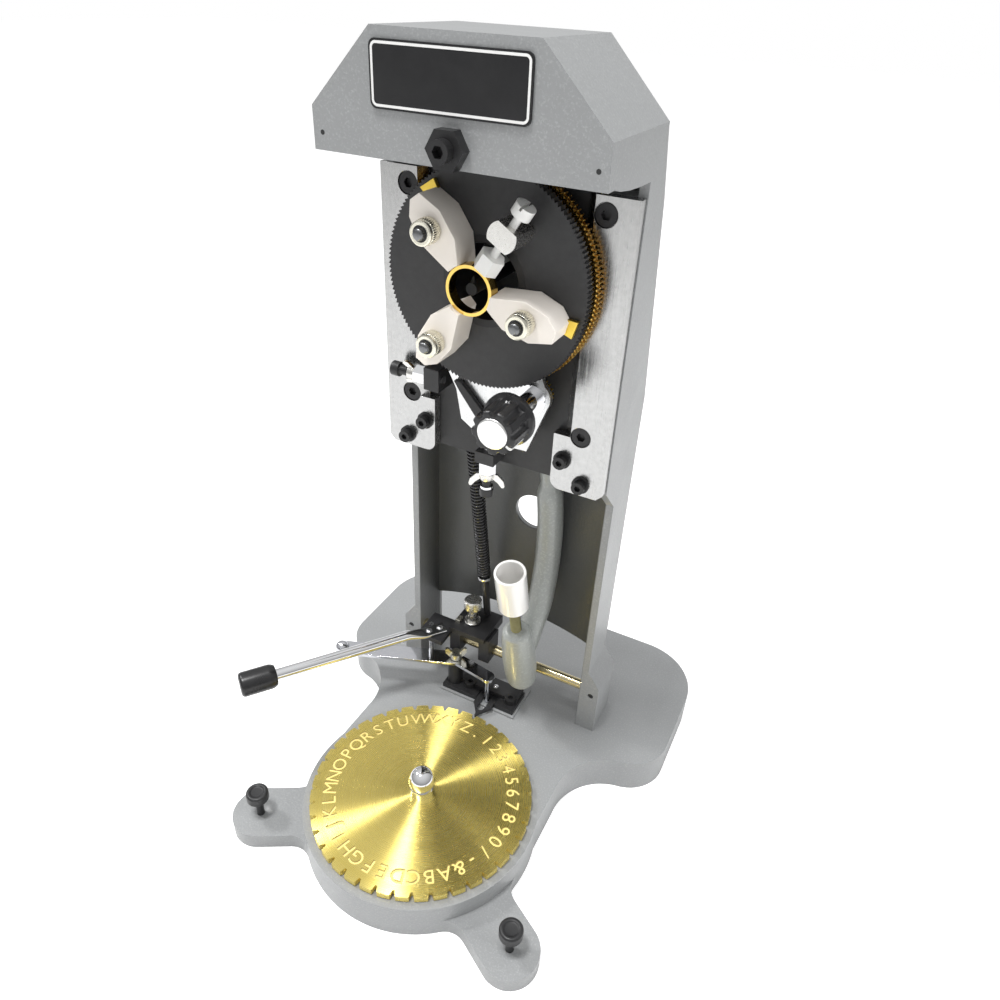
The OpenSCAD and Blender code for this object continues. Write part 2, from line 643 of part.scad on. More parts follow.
module spindle_nut() color("#6d7073") difference() {
  bar_y(spin_ro + 5, nut_y0, nut_y1, 0, chuck_z);
  bar_y(spin_ro + fit, nut_y0 - 1, nut_y1 + 1, 0, chuck_z);
  for (a = [45:90:315]) at_chuck(a) translate([spin_ro + 3, nut_y0 - 1, -1.5]) cube([4, 6, 3]);
}

module sample_ring() color("#d9a93a") difference() {
  bar_y(ring_ro, ring_y0, ring_y1, 0, chuck_z);
  bar_y(ring_ri, ring_y0 - 1, ring_y1 + 1, 0, chuck_z);
}

module jaw(a) difference() {
  at_chuck(a) difference() {
    slab_y(jaw_front, jaw_back)
      polygon([[8.6, -1.6], [12.5, -4], [19, -7.4], [31, -7.6], [40.4, -3.4], [40.4, 1.8], [35.4, 6], [25, 7.6], [9.6, 2.4]]);
    bar_y(stud_r + run, jaw_front - 1, jaw_back + 1, stud_u, 0);
  }
  bar_y(ring_ro + 0.2, jaw_front - 1, ring_y1 + 0.3, 0, chuck_z);
}

module jaw_1() color("#d6cfc6") jaw(jaw_1_angle);
module jaw_2() color("#d6cfc6") jaw(jaw_2_angle);
module jaw_3() color("#d6cfc6") jaw(jaw_3_angle);

module jaw_nut(a) at_chuck(a) {
  slab_y(jaw_front - slip - 7.4, jaw_front - slip) translate([stud_u, 0]) difference() {
    circle(r = 4.7);
    for (i = [0:15]) rotate(i * 22.5) translate([4.9, 0]) circle(r = 0.45, $fn = 16);
  }
  bar_y(5.1, jaw_front - slip - 1.6, jaw_front - slip, stud_u, 0);
  bar_y(stud_r, jaw_front - slip - 9, disc_front + disc_t - 0.4, stud_u, 0);
  bar_y(3.7, disc_front + disc_t - 1.8, disc_front + disc_t - 0.3, stud_u, 0);
}

module jaw_nut_1() color("#cdbf9a") jaw_nut(jaw_1_angle);
module jaw_nut_2() color("#cdbf9a") jaw_nut(jaw_2_angle);
module jaw_nut_3() color("#cdbf9a") jaw_nut(jaw_3_angle);

module clamp_post() color("#c8cbc4") at_chuck(clamp_angle) difference() {
  intersection() {
    bar_y(6.2, clamp_y - 5, disc_front, clamp_post_u, 0);
    translate([clamp_post_u - 4.3, clamp_y - 6, -8]) cube([8.6, 40, 16]);
  }
  bar_x(1.7 + run, 15, 40, clamp_y, 0);
}

module clamp_screw() color("#d6d8d8") at_chuck(clamp_angle) difference() {
  union() {
    bar_x(1.7, 12, 38, clamp_y, 0);
    translate([ring_ro + 0.35, clamp_y, 0]) rotate([0, 90, 0]) cylinder(r = 5.4, h = 7, $fn = 6);
    bar_x(4.2, 37, 41.5, clamp_y, 0);
  }
  translate([40, clamp_y - 6, -0.5]) cube([3, 12, 1]);
}

// Knob

module pinion() color("#b98a35") translate([kx, 0, chuck_z + kz]) rotate([0, -knob_angle - 180, 0]) difference() {
  slab_y(gear_y0, gear_y1) polygon(gear_outline(pinion_teeth, pinion_r));
  bar_y(knob_shaft_d / 2 + fit, gear_y0 - 1, gear_y1 + 1);
}

module knob_shaft() color("#b9bcbe") bar_y(knob_shaft_d / 2, knob_front + 5, gear_y1, kx, chuck_z + kz);

module control_knob() color("#151517") translate([kx, 0, chuck_z + kz]) difference() {
  union() {
    slab_y(knob_front, knob_back - 3) difference() {
      circle(r = knob_d / 2);
      for (i = [0:8]) rotate(i * 40 + 10) translate([knob_d / 2 + 2.2, 0]) circle(r = 3.3);
    }
    bar_y(knob_d / 2 + 1.6, knob_back - 3.4, knob_back);
  }
  bar_y(knob_shaft_d / 2 + fit, knob_front + 4.5, knob_back + 1);
  bar_y(knob_d * 0.34 + fit, knob_front - 1, knob_front + 1.2);
}

module knob_cap() color("#d9dbdd") bar_y(knob_d * 0.34, knob_front - 0.5, knob_front + 1.2, kx, chuck_z + kz);

// Tracer

module cross_shaft() color("#c2ad6a") bar_x(shaft_r, -(hw + foot_w - 3), hw + foot_w - 3, shaft_y, shaft_z);

module tracer_block() color("#1e1f21") difference() {
  union() {
    translate([-31, shaft_y - 11, block_top - 3.5]) cube([24, 17, 3.5]);
    translate([-31, shaft_y + 5.5, block_top - 6]) cube([24, 9, 6]);
    translate([-32, shaft_y - 8, shaft_z - 5]) cube([7, 13, block_top - shaft_z + 2]);
    translate([-12, shaft_y - 8, shaft_z - 5]) cube([7, 13, block_top - shaft_z + 2]);
    translate([-47, 71, block_top - 6]) cube([17, 21, 3]);
  }
  bar_x(shaft_r + run, -40, 0, shaft_y, shaft_z);
  bar_z(2 + run, block_top - 7, block_top + 1, thumb_pos[0], thumb_pos[1]);
  bar_z(1.6 + fit, block_top - 7, block_top + 1, stylus_pos[0], stylus_pos[1]);
}

module handle_rod() color("#b4b7ba") translate([handle_root[0], handle_root[1], 0]) rotate([0, 0, handle_dir]) {
  translate([8, -4, block_top - 3]) cube([18, 8, 2.2]);
  bar_x(handle_d / 2, 20, handle_len - grip_len + 6, 0, handle_z);
}

module handle_grip() color("#141416") translate([handle_root[0], handle_root[1], handle_z]) rotate([0, 0, handle_dir]) difference() {
  union() {
    bar_x(grip_d / 2, handle_len - grip_len + 1.5, handle_len - 1.5);
    bar_x(grip_d / 2 - 1.5, handle_len - grip_len, handle_len);
  }
  bar_x(handle_d / 2 + fit, handle_len - grip_len - 1, handle_len - grip_len + 6 + fit);
}

module tracer_stylus() color("#9b9ea1") {
  bar_z(1.6, 40, block_top - 3, stylus_pos[0], stylus_pos[1]);
  translate([stylus_pos[0], stylus_pos[1], 36.5]) cylinder(r1 = 0.5, r2 = 1.6, h = 3.5);
}

module thumb_screw() color("#c5c2b6") {
  bar_z(2, block_top - 6, block_top + 16, thumb_pos[0], thumb_pos[1]);
  bar_z(5, block_top + slip, block_top + 1.6, thumb_pos[0], thumb_pos[1]);
  bar_z(3.4, block_top + 1, block_top + 7, thumb_pos[0], thumb_pos[1]);
  bar_z(5.4, block_top + 11, block_top + 18, thumb_pos[0], thumb_pos[1]);
}

// Counterweight arm

module bulb_profile() {
  intersection() {
    translate([bulb_d / 2 - 206, bulb_len * 0.41]) circle(r = 206, $fn = 360);
    translate([0, 7]) square([bulb_d, bulb_len - 7]);
  }
  intersection() {
    translate([0, 8.6]) circle(r = 8.6);
    square([bulb_d, 9]);
  }
}

module counter_arm() color("#9aa19f") difference() {
  union() {
    at_bulb() rotate_extrude() bulb_profile();
    bar_x(8, arm_x - 12, arm_x, shaft_y, shaft_z);
    leg([arm_x - 5, 79, 55], [arm_x - 5, shaft_y - 1, 52], 6);
    for (i = [0:len(arm_path) - 2]) {
      leg(arm_path[i], arm_path[i + 1], arm_radius[i]);
      translate(arm_path[i + 1]) sphere(r = arm_radius[i] + 0.4);
    }
    bar_x(arm_rod_d / 2, -5.5, arm_x, arm_top_y, chuck_z);
  }
  bar_x(shaft_r + run, arm_x - 13, arm_x + 12, shaft_y, shaft_z);
  at_bulb() bar_z(3 + fit, bulb_len - 8, bulb_len + 1);
  bar_y(cutter_d / 2 + fit, arm_top_y - 12, arm_top_y + 12, 0, chuck_z);
}

arm_path = [[arm_x, 78, 68], [arm_x + 1, 86.4, 86], [arm_x + 2, 93.4, 101], [arm_x + 2, 98, 118], [arm_x + 2, 99.4, 134],
  [arm_x + 2, 98.4, 152], [arm_x + 1.4, 94.4, 178], [arm_x, arm_top_y + 1.6, 222], [arm_x, arm_top_y, chuck_z]];
arm_radius = [leg_d / 2 - 0.6, leg_d / 2 - 0.2, leg_d / 2, leg_d / 2, leg_d / 2, leg_d / 2 - 0.2, arm_rod_d / 2, arm_rod_d / 2];

module cup_stud() color("#b9ab85") at_bulb() bar_z(3, bulb_len - 7, bulb_len + stud_len + 2.2);

module weight_cup() color("#eeeceb") at_bulb() translate([0, 0, bulb_len + stud_len]) difference() {
  cylinder(r = cup_d / 2, h = cup_h);
  translate([0, 0, 3.4]) cylinder(r = cup_d / 2 - cup_wall, h = cup_h);
  translate([0, 0, -1]) cylinder(r = 3 + fit, h = 3.4 + e);
}

module cutter_bar() color("#a9acae") {
  bar_y(cutter_d / 2, ring_y0 + 2.6, arm_top_y + arm_rod_d / 2 - 1, 0, chuck_z);
  translate([0, ring_y0 + 4.4, chuck_z + cutter_d / 2 - 0.6]) cylinder(r1 = 1.4, r2 = 0.25, h = 3);
}

// Index lever

module strip(a, b, w) {
  d = b - a;
  translate(a) rotate(atan2(d[1], d[0])) translate([0, -w / 2]) square([norm(d), w]);
}

module index_lever() color("#c4c7ca") {
  difference() {
    translate([0, 0, lever_z]) linear_extrude(lever_t) {
      strip(lever_pivot, lever_end, lever_w * 1.05);
      strip(lever_pivot, lever_pin, lever_w * 0.8);
      translate(lever_pivot) circle(r = lever_w / 2);
      translate(lever_pin) circle(r = lever_w * 0.4 + 0.2);
    }
    bar_z(2 + run, lever_z - 1, lever_z + lever_t + 1, lever_pivot[0], lever_pivot[1]);
  }
  bar_z(1.6, finger_z0 + 0.4, lever_z + 1, lever_pin[0], lever_pin[1]);
  translate([lever_end[0], lever_end[1], lever_z + lever_t / 2]) rotate([0, 0, 201.9]) sphere(r = lever_ball_d / 2);
}

module lever_screw() color("#cfd1cf") {
  bar_z(2, lever_z - 8, lever_z + lever_t + 4, lever_pivot[0], lever_pivot[1]);
  bar_z(3.6, lever_z + lever_t + slip, lever_z + lever_t + 4.4, lever_pivot[0], lever_pivot[1]);
  translate([lever_pivot[0], lever_pivot[1], lever_z + lever_t + 1]) rotate([0, 0, 30])
    for (s = [0, 1]) mirror([s, 0, 0]) rotate([90, 0, 0]) translate([0, 0, -0.9]) linear_extrude(1.8)
      polygon([[0, 0.2], [3.4, 0], [6.4, 3.6], [6.6, 6.6], [4.8, 7.2], [2, 3.4], [0, 3.2]]);
}

module index_bracket() color("#161618") difference() {
  union() {
    translate([-30, dial_r + 13, pad_top]) cube([30 - finger_w / 2 - 0.3, 18, finger_t + 0.7]);
    translate([finger_w / 2 + 0.3, dial_r + 13, pad_top]) cube([12.5, 18, finger_t + 0.7]);
    translate([-20, dial_r + 19.5, pad_top + finger_t + 0.6]) cube([38, 11, 3]);
    bar_z(4.6, pad_top, lever_z - slip, lever_pivot[0], lever_pivot[1]);
  }
  bar_z(2 + run, lever_z - 9, lever_z + 1, lever_pivot[0], lever_pivot[1]);
  for (s = [-1, 1]) bar_z(2 + fit, pad_top - 1, pad_top + 8, s * 14, dial_r + 20);
  for (s = [-1, 1]) bar_z(3.8, pad_top + finger_t + 0.7, pad_top + 8, s * 14, dial_r + 20);
}

module bracket_screws() color("#2d2d2f") for (s = [-1, 1]) difference() {
  union() {
    bar_z(2, base_h - 3.5, pad_top + finger_t + 2, s * 14, dial_r + 20);
    bar_z(3.6, pad_top + finger_t + 0.7 + fit, pad_top + finger_t + 4.2, s * 14, dial_r + 20);
  }
  translate([s * 14, dial_r + 20, pad_top + finger_t + 2.4]) cylinder(r = 1.7, h = 3, $fn = 6);
}

module index_finger() color("#1a1a1c") translate([0, 0, finger_z0]) linear_extrude(finger_t) difference() {
  union() {
    polygon([[-0.4, finger_tip_y], [0.4, finger_tip_y], [0.9, finger_tip_y + 2.4], [finger_w / 2, dial_r + 10],
      [-finger_w / 2, dial_r + 10], [-0.9, finger_tip_y + 2.4]]);
    translate([-finger_w / 2, dial_r + 10 - e]) square([finger_w, 16.5 + e]);
  }
  translate([-2.3, dial_r + 12 - finger_travel]) square([4.6, finger_travel + 3.5]);
  translate([0, dial_r + 12 - finger_travel]) circle(r = 2.3);
  translate([0, dial_r + 15.5]) circle(r = 2.3);
}

// Dial

module letter_dial() color("#d2a63c") translate([0, 0, dial_z0]) linear_extrude(dial_t) difference() {
  circle(r = dial_r);
  circle(r = pin_r + run);
  for (i = [0:notch_count - 1]) rotate(90 + i * 360 / notch_count)
    polygon([[dial_r + e, notch_w / 2 + 0.2], [dial_r - notch_depth, 0.5], [dial_r - notch_depth, -0.5], [dial_r + e, -notch_w / 2 - 0.2]]);
}

module dial_knob() color("#d4d6d8") difference() {
  union() {
    bar_z(6.4, dial_top, dial_top + 4);
    translate([0, 0, dial_top + 4 + ball_d / 2 - 1.6]) sphere(r = ball_d / 2);
  }
  bar_z(pin_r + run, dial_top - 1, dial_top + 5.5);
}

module dial_spindle() color("#8b8e91") bar_z(pin_r, base_h - 13.6, dial_top + 5);

// Ear screws

module ear_screw() {
  bar_z(2, ear_h - 6, ear_h + 13);
  bar_z(5.9, ear_h + 12, ear_h + 17);
  bar_z(5.2, ear_h + 11.4, ear_h + 17.6);
}

module ear_screw_left() color("#202022") translate([-ear_pos[0], ear_pos[1], 0]) ear_screw();
module ear_screw_right() color("#202022") translate([ear_pos[0], ear_pos[1], 0]) ear_screw();

base_casting();
column_casting();
nameplate();
hood_screw();
hood_lock_nut();
face_plate_left();
face_plate_right();
plate_cap_screws();
gib_screws();
cross_shaft();
shaft_set_screws();
column_bolts();
index_bracket();
bracket_screws();
dial_spindle();
carriage_plate();
spindle_bush();
stop_block();
side_screw();
low_screw();
link_rod();
link_spring();
side_wing_nut();
low_wing_nut();
swing_yoke();
knob_sleeve();
pawl();
chuck_spindle();
ratchet_disc();
chuck_gear();
spindle_nut();
clamp_post();
sample_ring();
jaw_1();
jaw_2();
jaw_3();
jaw_nut_1();
jaw_nut_2();
jaw_nut_3();
clamp_screw();
pinion();
knob_shaft();
control_knob();
knob_cap();
tracer_block();
handle_rod();
handle_grip();
tracer_stylus();
thumb_screw();
counter_arm();
cup_stud();
weight_cup();
cutter_bar();
index_lever();
lever_screw();
index_finger();
letter_dial();
dial_knob();
ear_screw_left();
ear_screw_right();
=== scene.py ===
"""Looks of the ring engraving machine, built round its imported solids.

Sizes are millimetres in the part's own frame (origin on the bench under the dial's axis, X to the
right, Y to the back, Z up) and become metres only where a mesh is written. Lamps are in metres.
"""

from __future__ import annotations

import json
import logging
import math
from dataclasses import dataclass
from enum import Enum

import bmesh
import bpy
import numpy as np
from mathutils import Matrix

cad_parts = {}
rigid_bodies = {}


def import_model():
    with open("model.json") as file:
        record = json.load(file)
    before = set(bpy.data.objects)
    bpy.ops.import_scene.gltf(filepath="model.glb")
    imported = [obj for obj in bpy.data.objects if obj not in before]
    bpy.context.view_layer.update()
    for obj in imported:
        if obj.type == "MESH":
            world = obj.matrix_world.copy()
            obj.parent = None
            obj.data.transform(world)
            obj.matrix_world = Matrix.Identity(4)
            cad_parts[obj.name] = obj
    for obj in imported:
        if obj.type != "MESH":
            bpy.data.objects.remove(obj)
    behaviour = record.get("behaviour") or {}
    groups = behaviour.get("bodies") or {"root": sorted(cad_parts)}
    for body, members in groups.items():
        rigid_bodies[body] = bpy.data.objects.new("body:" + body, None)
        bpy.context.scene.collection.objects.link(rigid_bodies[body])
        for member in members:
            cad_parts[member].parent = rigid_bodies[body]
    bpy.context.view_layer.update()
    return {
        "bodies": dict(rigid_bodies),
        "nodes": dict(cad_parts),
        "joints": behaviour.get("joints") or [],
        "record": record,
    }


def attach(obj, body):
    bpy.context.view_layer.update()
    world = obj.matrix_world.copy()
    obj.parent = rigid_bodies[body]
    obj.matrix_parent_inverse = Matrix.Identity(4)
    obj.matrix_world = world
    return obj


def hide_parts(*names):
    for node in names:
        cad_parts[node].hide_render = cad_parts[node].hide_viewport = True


MM = 0.001
LOG = logging.getLogger("ring_engraver")

Pair = tuple[float, float]
Vec = tuple[float, float, float]
Rgb = tuple[float, float, float]
Profile = tuple[Pair, ...]
Skin = tuple[np.ndarray, list]
Node = bpy.types.Node
Socket = bpy.types.NodeSocket
Material = bpy.types.Material

RIGHT: Vec = (1.0, 0.0, 0.0)
BACK: Vec = (0.0, 1.0, 0.0)
UP: Vec = (0.0, 0.0, 1.0)
# Axes of a round thing that faces the front: right, up, and its axis to the back.
FACING = np.array([RIGHT, UP, BACK])
# Radius of the small flat face that closes a turned end.
TIP = 0.05


class Slot(str, Enum):
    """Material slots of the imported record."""

    POLISHED = "polished"
    DARK = "dark_steel"
    BLACK = "black_paint"
    BRASS = "brass"
    ZINC = "zinc"
    PLASTIC = "black_plastic"
    ARM = "arm_paint"


class Grain(Enum):
    """Way in which a metal's fine marks run, with their number per metre along Z."""

    ROLLED = 60.0
    PLAIN = 900.0
    TURNED = None


# ---------------------------------------------------------------- shader groups


class NodeTree:
    """Small helper that adds and links shader nodes."""

    def __init__(self, tree: bpy.types.NodeTree) -> None:
        """Keeps the tree that nodes are added to."""
        self.tree = tree

    def add(self, kind: str, **values: object) -> Node:
        """Adds a node and sets its properties and inputs.

        Args:
            kind: Blender's node type name.
            **values: properties of the node, or what feeds an input, by the input's name with
                spaces written as two underscores.
        Returns:
            The new node.
        """
        node = self.tree.nodes.new(kind)
        for key, value in values.items():
            name = key.replace("__", " ")
            if name in node.inputs:
                self.feed(value, node.inputs[name])
            else:
                setattr(node, key, value)
        return node

    def feed(self, value: object, into: Socket) -> None:
        """Gives an input another node's output, a colour or a number."""
        if isinstance(value, Socket):
            self.tree.links.new(value, into)
        elif isinstance(value, tuple):
            into.default_value = (*value[:3], 1.0)
        else:
            into.default_value = value

    def math(self, operation: str, a: object, b: object = 0.0, clamp: bool = False) -> Socket:
        """Adds a Math node whose inputs are sockets or numbers.

        Args:
            operation: Blender's name of the operation.
            a: first socket or number.
            b: second socket or number.
            clamp: whether the result stays between 0 and 1.
        Returns:
            The node's output socket.
        """
        node = self.add("ShaderNodeMath", operation=operation, use_clamp=clamp)
        for socket, value in zip(node.inputs, (a, b)):
            self.feed(value, socket)
        return node.outputs[0]

    def plus(self, a: object, b: object) -> Socket:
        """Sum of two sockets or numbers."""
        return self.math("ADD", a, b)

    def times(self, a: object, b: object, clamp: bool = False) -> Socket:
        """Product of two sockets or numbers."""
        return self.math("MULTIPLY", a, b, clamp)

    def mix(self, factor: object, a: object, b: object) -> Socket:
        """Mixes two colours or colour sockets: a where the factor is 0, b where it is 1."""
        node = self.add("ShaderNodeMix", data_type="RGBA")
        for number, value in ((0, factor), (6, a), (7, b)):
            self.feed(value, node.inputs[number])
        return node.outputs[2]

    def coord(self) -> Socket:
        """Object coordinates."""
        return self.add("ShaderNodeTexCoord").outputs["Object"]

    def noise(self, **values: object) -> Socket:
        """Noise on Object coordinates, or on what the values give as Vector or W."""
        if "W" not in values and "Vector" not in values:
            values["Vector"] = self.coord()
        return self.add("ShaderNodeTexNoise", **values).outputs["Fac"]

    def effect(self, group: bpy.types.NodeTree, **values: float) -> bpy.types.NodeOutputs:
        """Places a shared effect with its own values and gives its outputs."""
        return self.add("ShaderNodeGroup", node_tree=group, **values).outputs


class Effects:
    """Effects that several finishes share, each a node group built once."""

    def __init__(self) -> None:
        """Builds every group."""
        self.hammer = self._hammer()
        self.marks = self._marks()
        self.rings = self._rings()
        self.dust = self._dust()
        self.inside = self._inside()

    @staticmethod
    def _open(name: str, outputs: tuple[str, ...], **inputs: float) -> tuple[NodeTree, bpy.types.NodeOutputs]:
        """Opens a group of number sockets.

        Args:
            name: the group's name.
            outputs: names of its outputs.
            **inputs: its inputs with their defaults, named as NodeTree.add names them.
        Returns:
            The group's helper, and the sockets that hold its inputs.
        """
        group = bpy.data.node_groups.new(name, "ShaderNodeTree")
        for key, value in inputs.items():
            socket = group.interface.new_socket(
                key.replace("__", " "), in_out="INPUT", socket_type="NodeSocketFloat"
            )
            socket.default_value = value
        for key in outputs:
            group.interface.new_socket(key, in_out="OUTPUT", socket_type="NodeSocketFloat")
        tree = NodeTree(group)
        return tree, tree.add("NodeGroupInput").outputs

    @staticmethod
    def _close(tree: NodeTree, *results: Socket) -> bpy.types.NodeTree:
        """Feeds a group's outputs, in their order, and gives the group."""
        for result, into in zip(results, tree.add("NodeGroupOutput").inputs):
            tree.feed(result, into)
        return tree.tree

    def _hammer(self) -> bpy.types.NodeTree:
        """Hammered paint: small rounded cells over a soft swell, and a mask of the hollows."""
        t, given = self._open("hammered_skin", ("Height", "Hollow"), Cells=620.0, Swell=90.0)
        cells = t.add("ShaderNodeTexVoronoi", feature="SMOOTH_F1", Smoothness=0.6)
        t.feed(t.coord(), cells.inputs["Vector"])
        t.feed(given["Cells"], cells.inputs["Scale"])
        grit = t.noise(Detail=3.0, Roughness=0.6, Scale=t.times(given["Cells"], 1.9))
        swell = t.noise(Detail=2.0, Scale=given["Swell"])
        fine = t.plus(t.times(cells.outputs["Distance"], 0.8), t.times(grit, 0.5))
        hollow = t.times(t.math("SUBTRACT", grit, 0.52), 5.0, clamp=True)
        return self._close(t, t.plus(fine, t.times(swell, 0.7)), hollow)

    def _marks(self) -> bpy.types.NodeTree:
        """Rolled metal: noise drawn out along Z, with a wide mottle."""
        t, given = self._open(
            "rolled_marks", ("Lines", "Mottle"), Along=60.0, Across=1800.0, Mottle=240.0
        )
        across = given["Across"]
        spread = t.add("ShaderNodeCombineXYZ", X=across, Y=across, Z=given["Along"])
        scaled = t.add("ShaderNodeVectorMath", operation="MULTIPLY")
        t.feed(t.coord(), scaled.inputs[0])
        t.feed(spread.outputs[0], scaled.inputs[1])
        lines = t.noise(Scale=1.0, Detail=3.0, Vector=scaled.outputs[0])
        mottle = t.noise(Detail=4.0, Roughness=0.65, Scale=given["Mottle"])
        return self._close(t, lines, mottle)

    def _rings(self) -> bpy.types.NodeTree:
        """Turned metal: noise of the distance from the axis through the origin of X and Y."""
        t, given = self._open("turned_rings", ("Lines", "Broad"), Pitch=2600.0)
        x, y, _ = t.add("ShaderNodeSeparateXYZ", Vector=t.coord()).outputs
        radius = t.math("SQRT", t.plus(t.times(x, x), t.times(y, y)))
        lines, broad = (
            t.noise(noise_dimensions="1D", Scale=1.0, Detail=detail, W=t.times(radius, pitch))
            for detail, pitch in ((3.0, given["Pitch"]), (2.0, 260.0))
        )
        return self._close(t, lines, broad)

    def _dust(self) -> bpy.types.NodeTree:
        """Handling: soft blotches that dull a surface a little."""
        t, given = self._open("handling_dust", ("Mask",), Size=45.0, Amount=0.5)
        blotch = t.noise(Detail=5.0, Roughness=0.62, Distortion=0.4, Scale=given["Size"])
        lifted = t.times(t.math("SUBTRACT", blotch, 0.35), 2.2, clamp=True)
        return self._close(t, t.times(lifted, given["Amount"]))

    def _inside(self) -> bpy.types.NodeTree:
        """Mask of a box that is even about X, where shade is painted: 1 inside, rising softly from 0 at its
        front, 0 on faces that look back.
        """
        t, given = self._open(
            "inside_box", ("Mask",), Half__X=0.05, Front=0.0, Back=0.1, Low=0.0, High=0.3
        )
        coord = t.add("ShaderNodeTexCoord").outputs
        x, y, z = t.add("ShaderNodeSeparateXYZ", Vector=coord["Object"]).outputs
        facing = t.add("ShaderNodeSeparateXYZ", Vector=coord["Normal"]).outputs["Y"]
        # The painted shade fades in over the first 1/34 m behind the box's front.
        ramp_per_metre, looks_back = 34.0, 0.5
        mask = t.times(t.math("SUBTRACT", y, given["Front"]), ramp_per_metre, clamp=True)
        for test, value, limit in (
            ("LESS_THAN", t.math("ABSOLUTE", x), given["Half X"]),
            ("LESS_THAN", y, given["Back"]),
            ("LESS_THAN", facing, looks_back),
            ("GREATER_THAN", z, given["Low"]),
            ("LESS_THAN", z, given["High"]),
        ):
            mask = t.times(mask, t.math(test, value, limit))
        return self._close(t, mask)


# ---------------------------------------------------------------- finishes


def open_material(name: str, **values: object) -> tuple[Material, NodeTree, Node]:
    """Makes a material with only a Principled shader.

    Args:
        name: the material's name.
        **values: inputs of the shader, named as NodeTree.add names them.
    Returns:
        The material, its node helper and its Principled node.
    """
    material = bpy.data.materials.new(name)
    material.use_nodes = True
    material.node_tree.nodes.clear()
    tree = NodeTree(material.node_tree)
    shader = tree.add("ShaderNodeBsdfPrincipled", **values)
    tree.add("ShaderNodeOutputMaterial", Surface=shader.outputs[0])
    return material, tree, shader


def bump(tree: NodeTree, shader: Node, height: Socket, strength: float, depth_mm: float) -> None:
    """Raises a surface by a height map.

    Args:
        tree: helper of the material.
        shader: the Principled node.
        height: socket that gives the height, 0 to 1.
        strength: how much of the bump shows.
        depth_mm: depth that a height of 1 stands for.
    """
    node = tree.add("ShaderNodeBump", Strength=strength, Distance=depth_mm * MM, Height=height)
    tree.feed(node.outputs[0], shader.inputs["Normal"])


@dataclass(frozen=True)
class HammeredPaint:
    """Cast metal under a hammered, slightly sparkling paint; inside an optional box its colour turns to a
    painted shade.
    """

    name: str
    color: Rgb
    hollow: Rgb
    rough: float = 0.42
    cells: float = 620.0
    depth_mm: float = 0.22
    # Painted shade: a box (half width in X, front, back, low, high, in millimetres) in which the coat darkens
    # to the shade colour below.
    painted_shade_box: tuple[float, float, float, float, float] | None = None
    shade: Rgb = (0.062, 0.065, 0.064)
    worn: float = 0.86
    hollow_share: float = 0.55
    dust_rough: float = 0.22

    def material(self, effects: Effects) -> Material:
        """Builds the material from the shared effects."""
        material, t, s = open_material(self.name, Coat__Weight=0.4, Coat__Roughness=0.25)
        skin = t.effect(effects.hammer, Cells=self.cells)
        dust = t.effect(effects.dust, Size=38.0, Amount=0.35)["Mask"]
        coat = t.mix(dust, self.color, tuple(self.worn * c for c in self.color))
        coat = t.mix(t.times(skin["Hollow"], self.hollow_share), coat, self.hollow)
        # Painted shade: inside the box the coat is mixed to the dark shade colour, fading out towards the
        # box's front.
        if self.painted_shade_box:
            half, front, back, low, high = (v * MM for v in self.painted_shade_box)
            box = t.effect(effects.inside, Half__X=half, Front=front, Back=back, Low=low, High=high)
            coat = t.mix(box["Mask"], coat, self.shade)
        t.feed(coat, s.inputs["Base Color"])
        t.feed(t.plus(t.times(dust, self.dust_rough), self.rough), s.inputs["Roughness"])
        bump(t, s, skin["Height"], 0.55, self.depth_mm)
        return material


@dataclass(frozen=True)
class Metal:
    """Bare or plated metal with fine marks of its making."""

    name: str
    color: Rgb
    tint: Rgb
    rough: float
    grain: Grain = Grain.PLAIN
    spread: float = 0.10
    aniso: float = 0.0
    metallic: float = 1.0
    mottle: float = 240.0
    bump_mm: float = 0.02
    across: float = 1500.0
    least_rough: float = 0.03
    quarter_turn: float = 0.25

    def material(self, effects: Effects) -> Material:
        """Builds the material from the shared effects."""
        material, t, s = open_material(self.name, Metallic=self.metallic)
        if self.grain is Grain.TURNED:
            marks = t.effect(effects.rings)
        else:
            along = self.grain.value
            marks = t.effect(effects.marks, Along=along, Across=self.across, Mottle=self.mottle)
        fine, broad = marks[0], marks[1]
        dust = t.effect(effects.dust, Size=120.0, Amount=0.5)["Mask"]
        t.feed(t.mix(broad, self.color, self.tint), s.inputs["Base Color"])
        lines = t.times(t.math("SUBTRACT", fine, 0.5), self.spread * 2.0)
        worn = t.plus(t.times(dust, self.spread), self.rough)
        rough = t.math("MAXIMUM", t.plus(worn, lines), self.least_rough)
        t.feed(rough, s.inputs["Roughness"])
        if self.aniso:
            tangent = t.add("ShaderNodeTangent", direction_type="RADIAL", axis="Z")
            t.feed(self.aniso, s.inputs["Anisotropic"])
            t.feed(self.quarter_turn, s.inputs["Anisotropic Rotation"])
            t.feed(tangent.outputs[0], s.inputs["Tangent"])
        bump(t, s, fine, 0.25, self.bump_mm)
        return material


@dataclass(frozen=True)
class Moulded:
    """Plastic or smooth paint with a faint orange peel."""

    name: str
    color: Rgb
    tint: Rgb
    rough: float
    depth_mm: float = 0.03
    coat: float = 0.0
    peel: float = 1400.0
    dust_rough: float = 0.15

    def material(self, effects: Effects) -> Material:
        """Builds the material from the shared effects."""
        material, t, s = open_material(self.name, Coat__Weight=self.coat)
        skin = t.effect(effects.hammer, Cells=self.peel, Swell=160.0)
        dust = t.effect(effects.dust, Size=90.0, Amount=0.6)["Mask"]
        t.feed(t.mix(dust, self.color, self.tint), s.inputs["Base Color"])
        t.feed(t.plus(t.times(dust, self.dust_rough), self.rough), s.inputs["Roughness"])
        bump(t, s, skin["Height"], 0.3, self.depth_mm)
        return material


CAST_GREY: Rgb = (0.265, 0.272, 0.275)
CAST_HOLLOW: Rgb = (0.370, 0.380, 0.383)

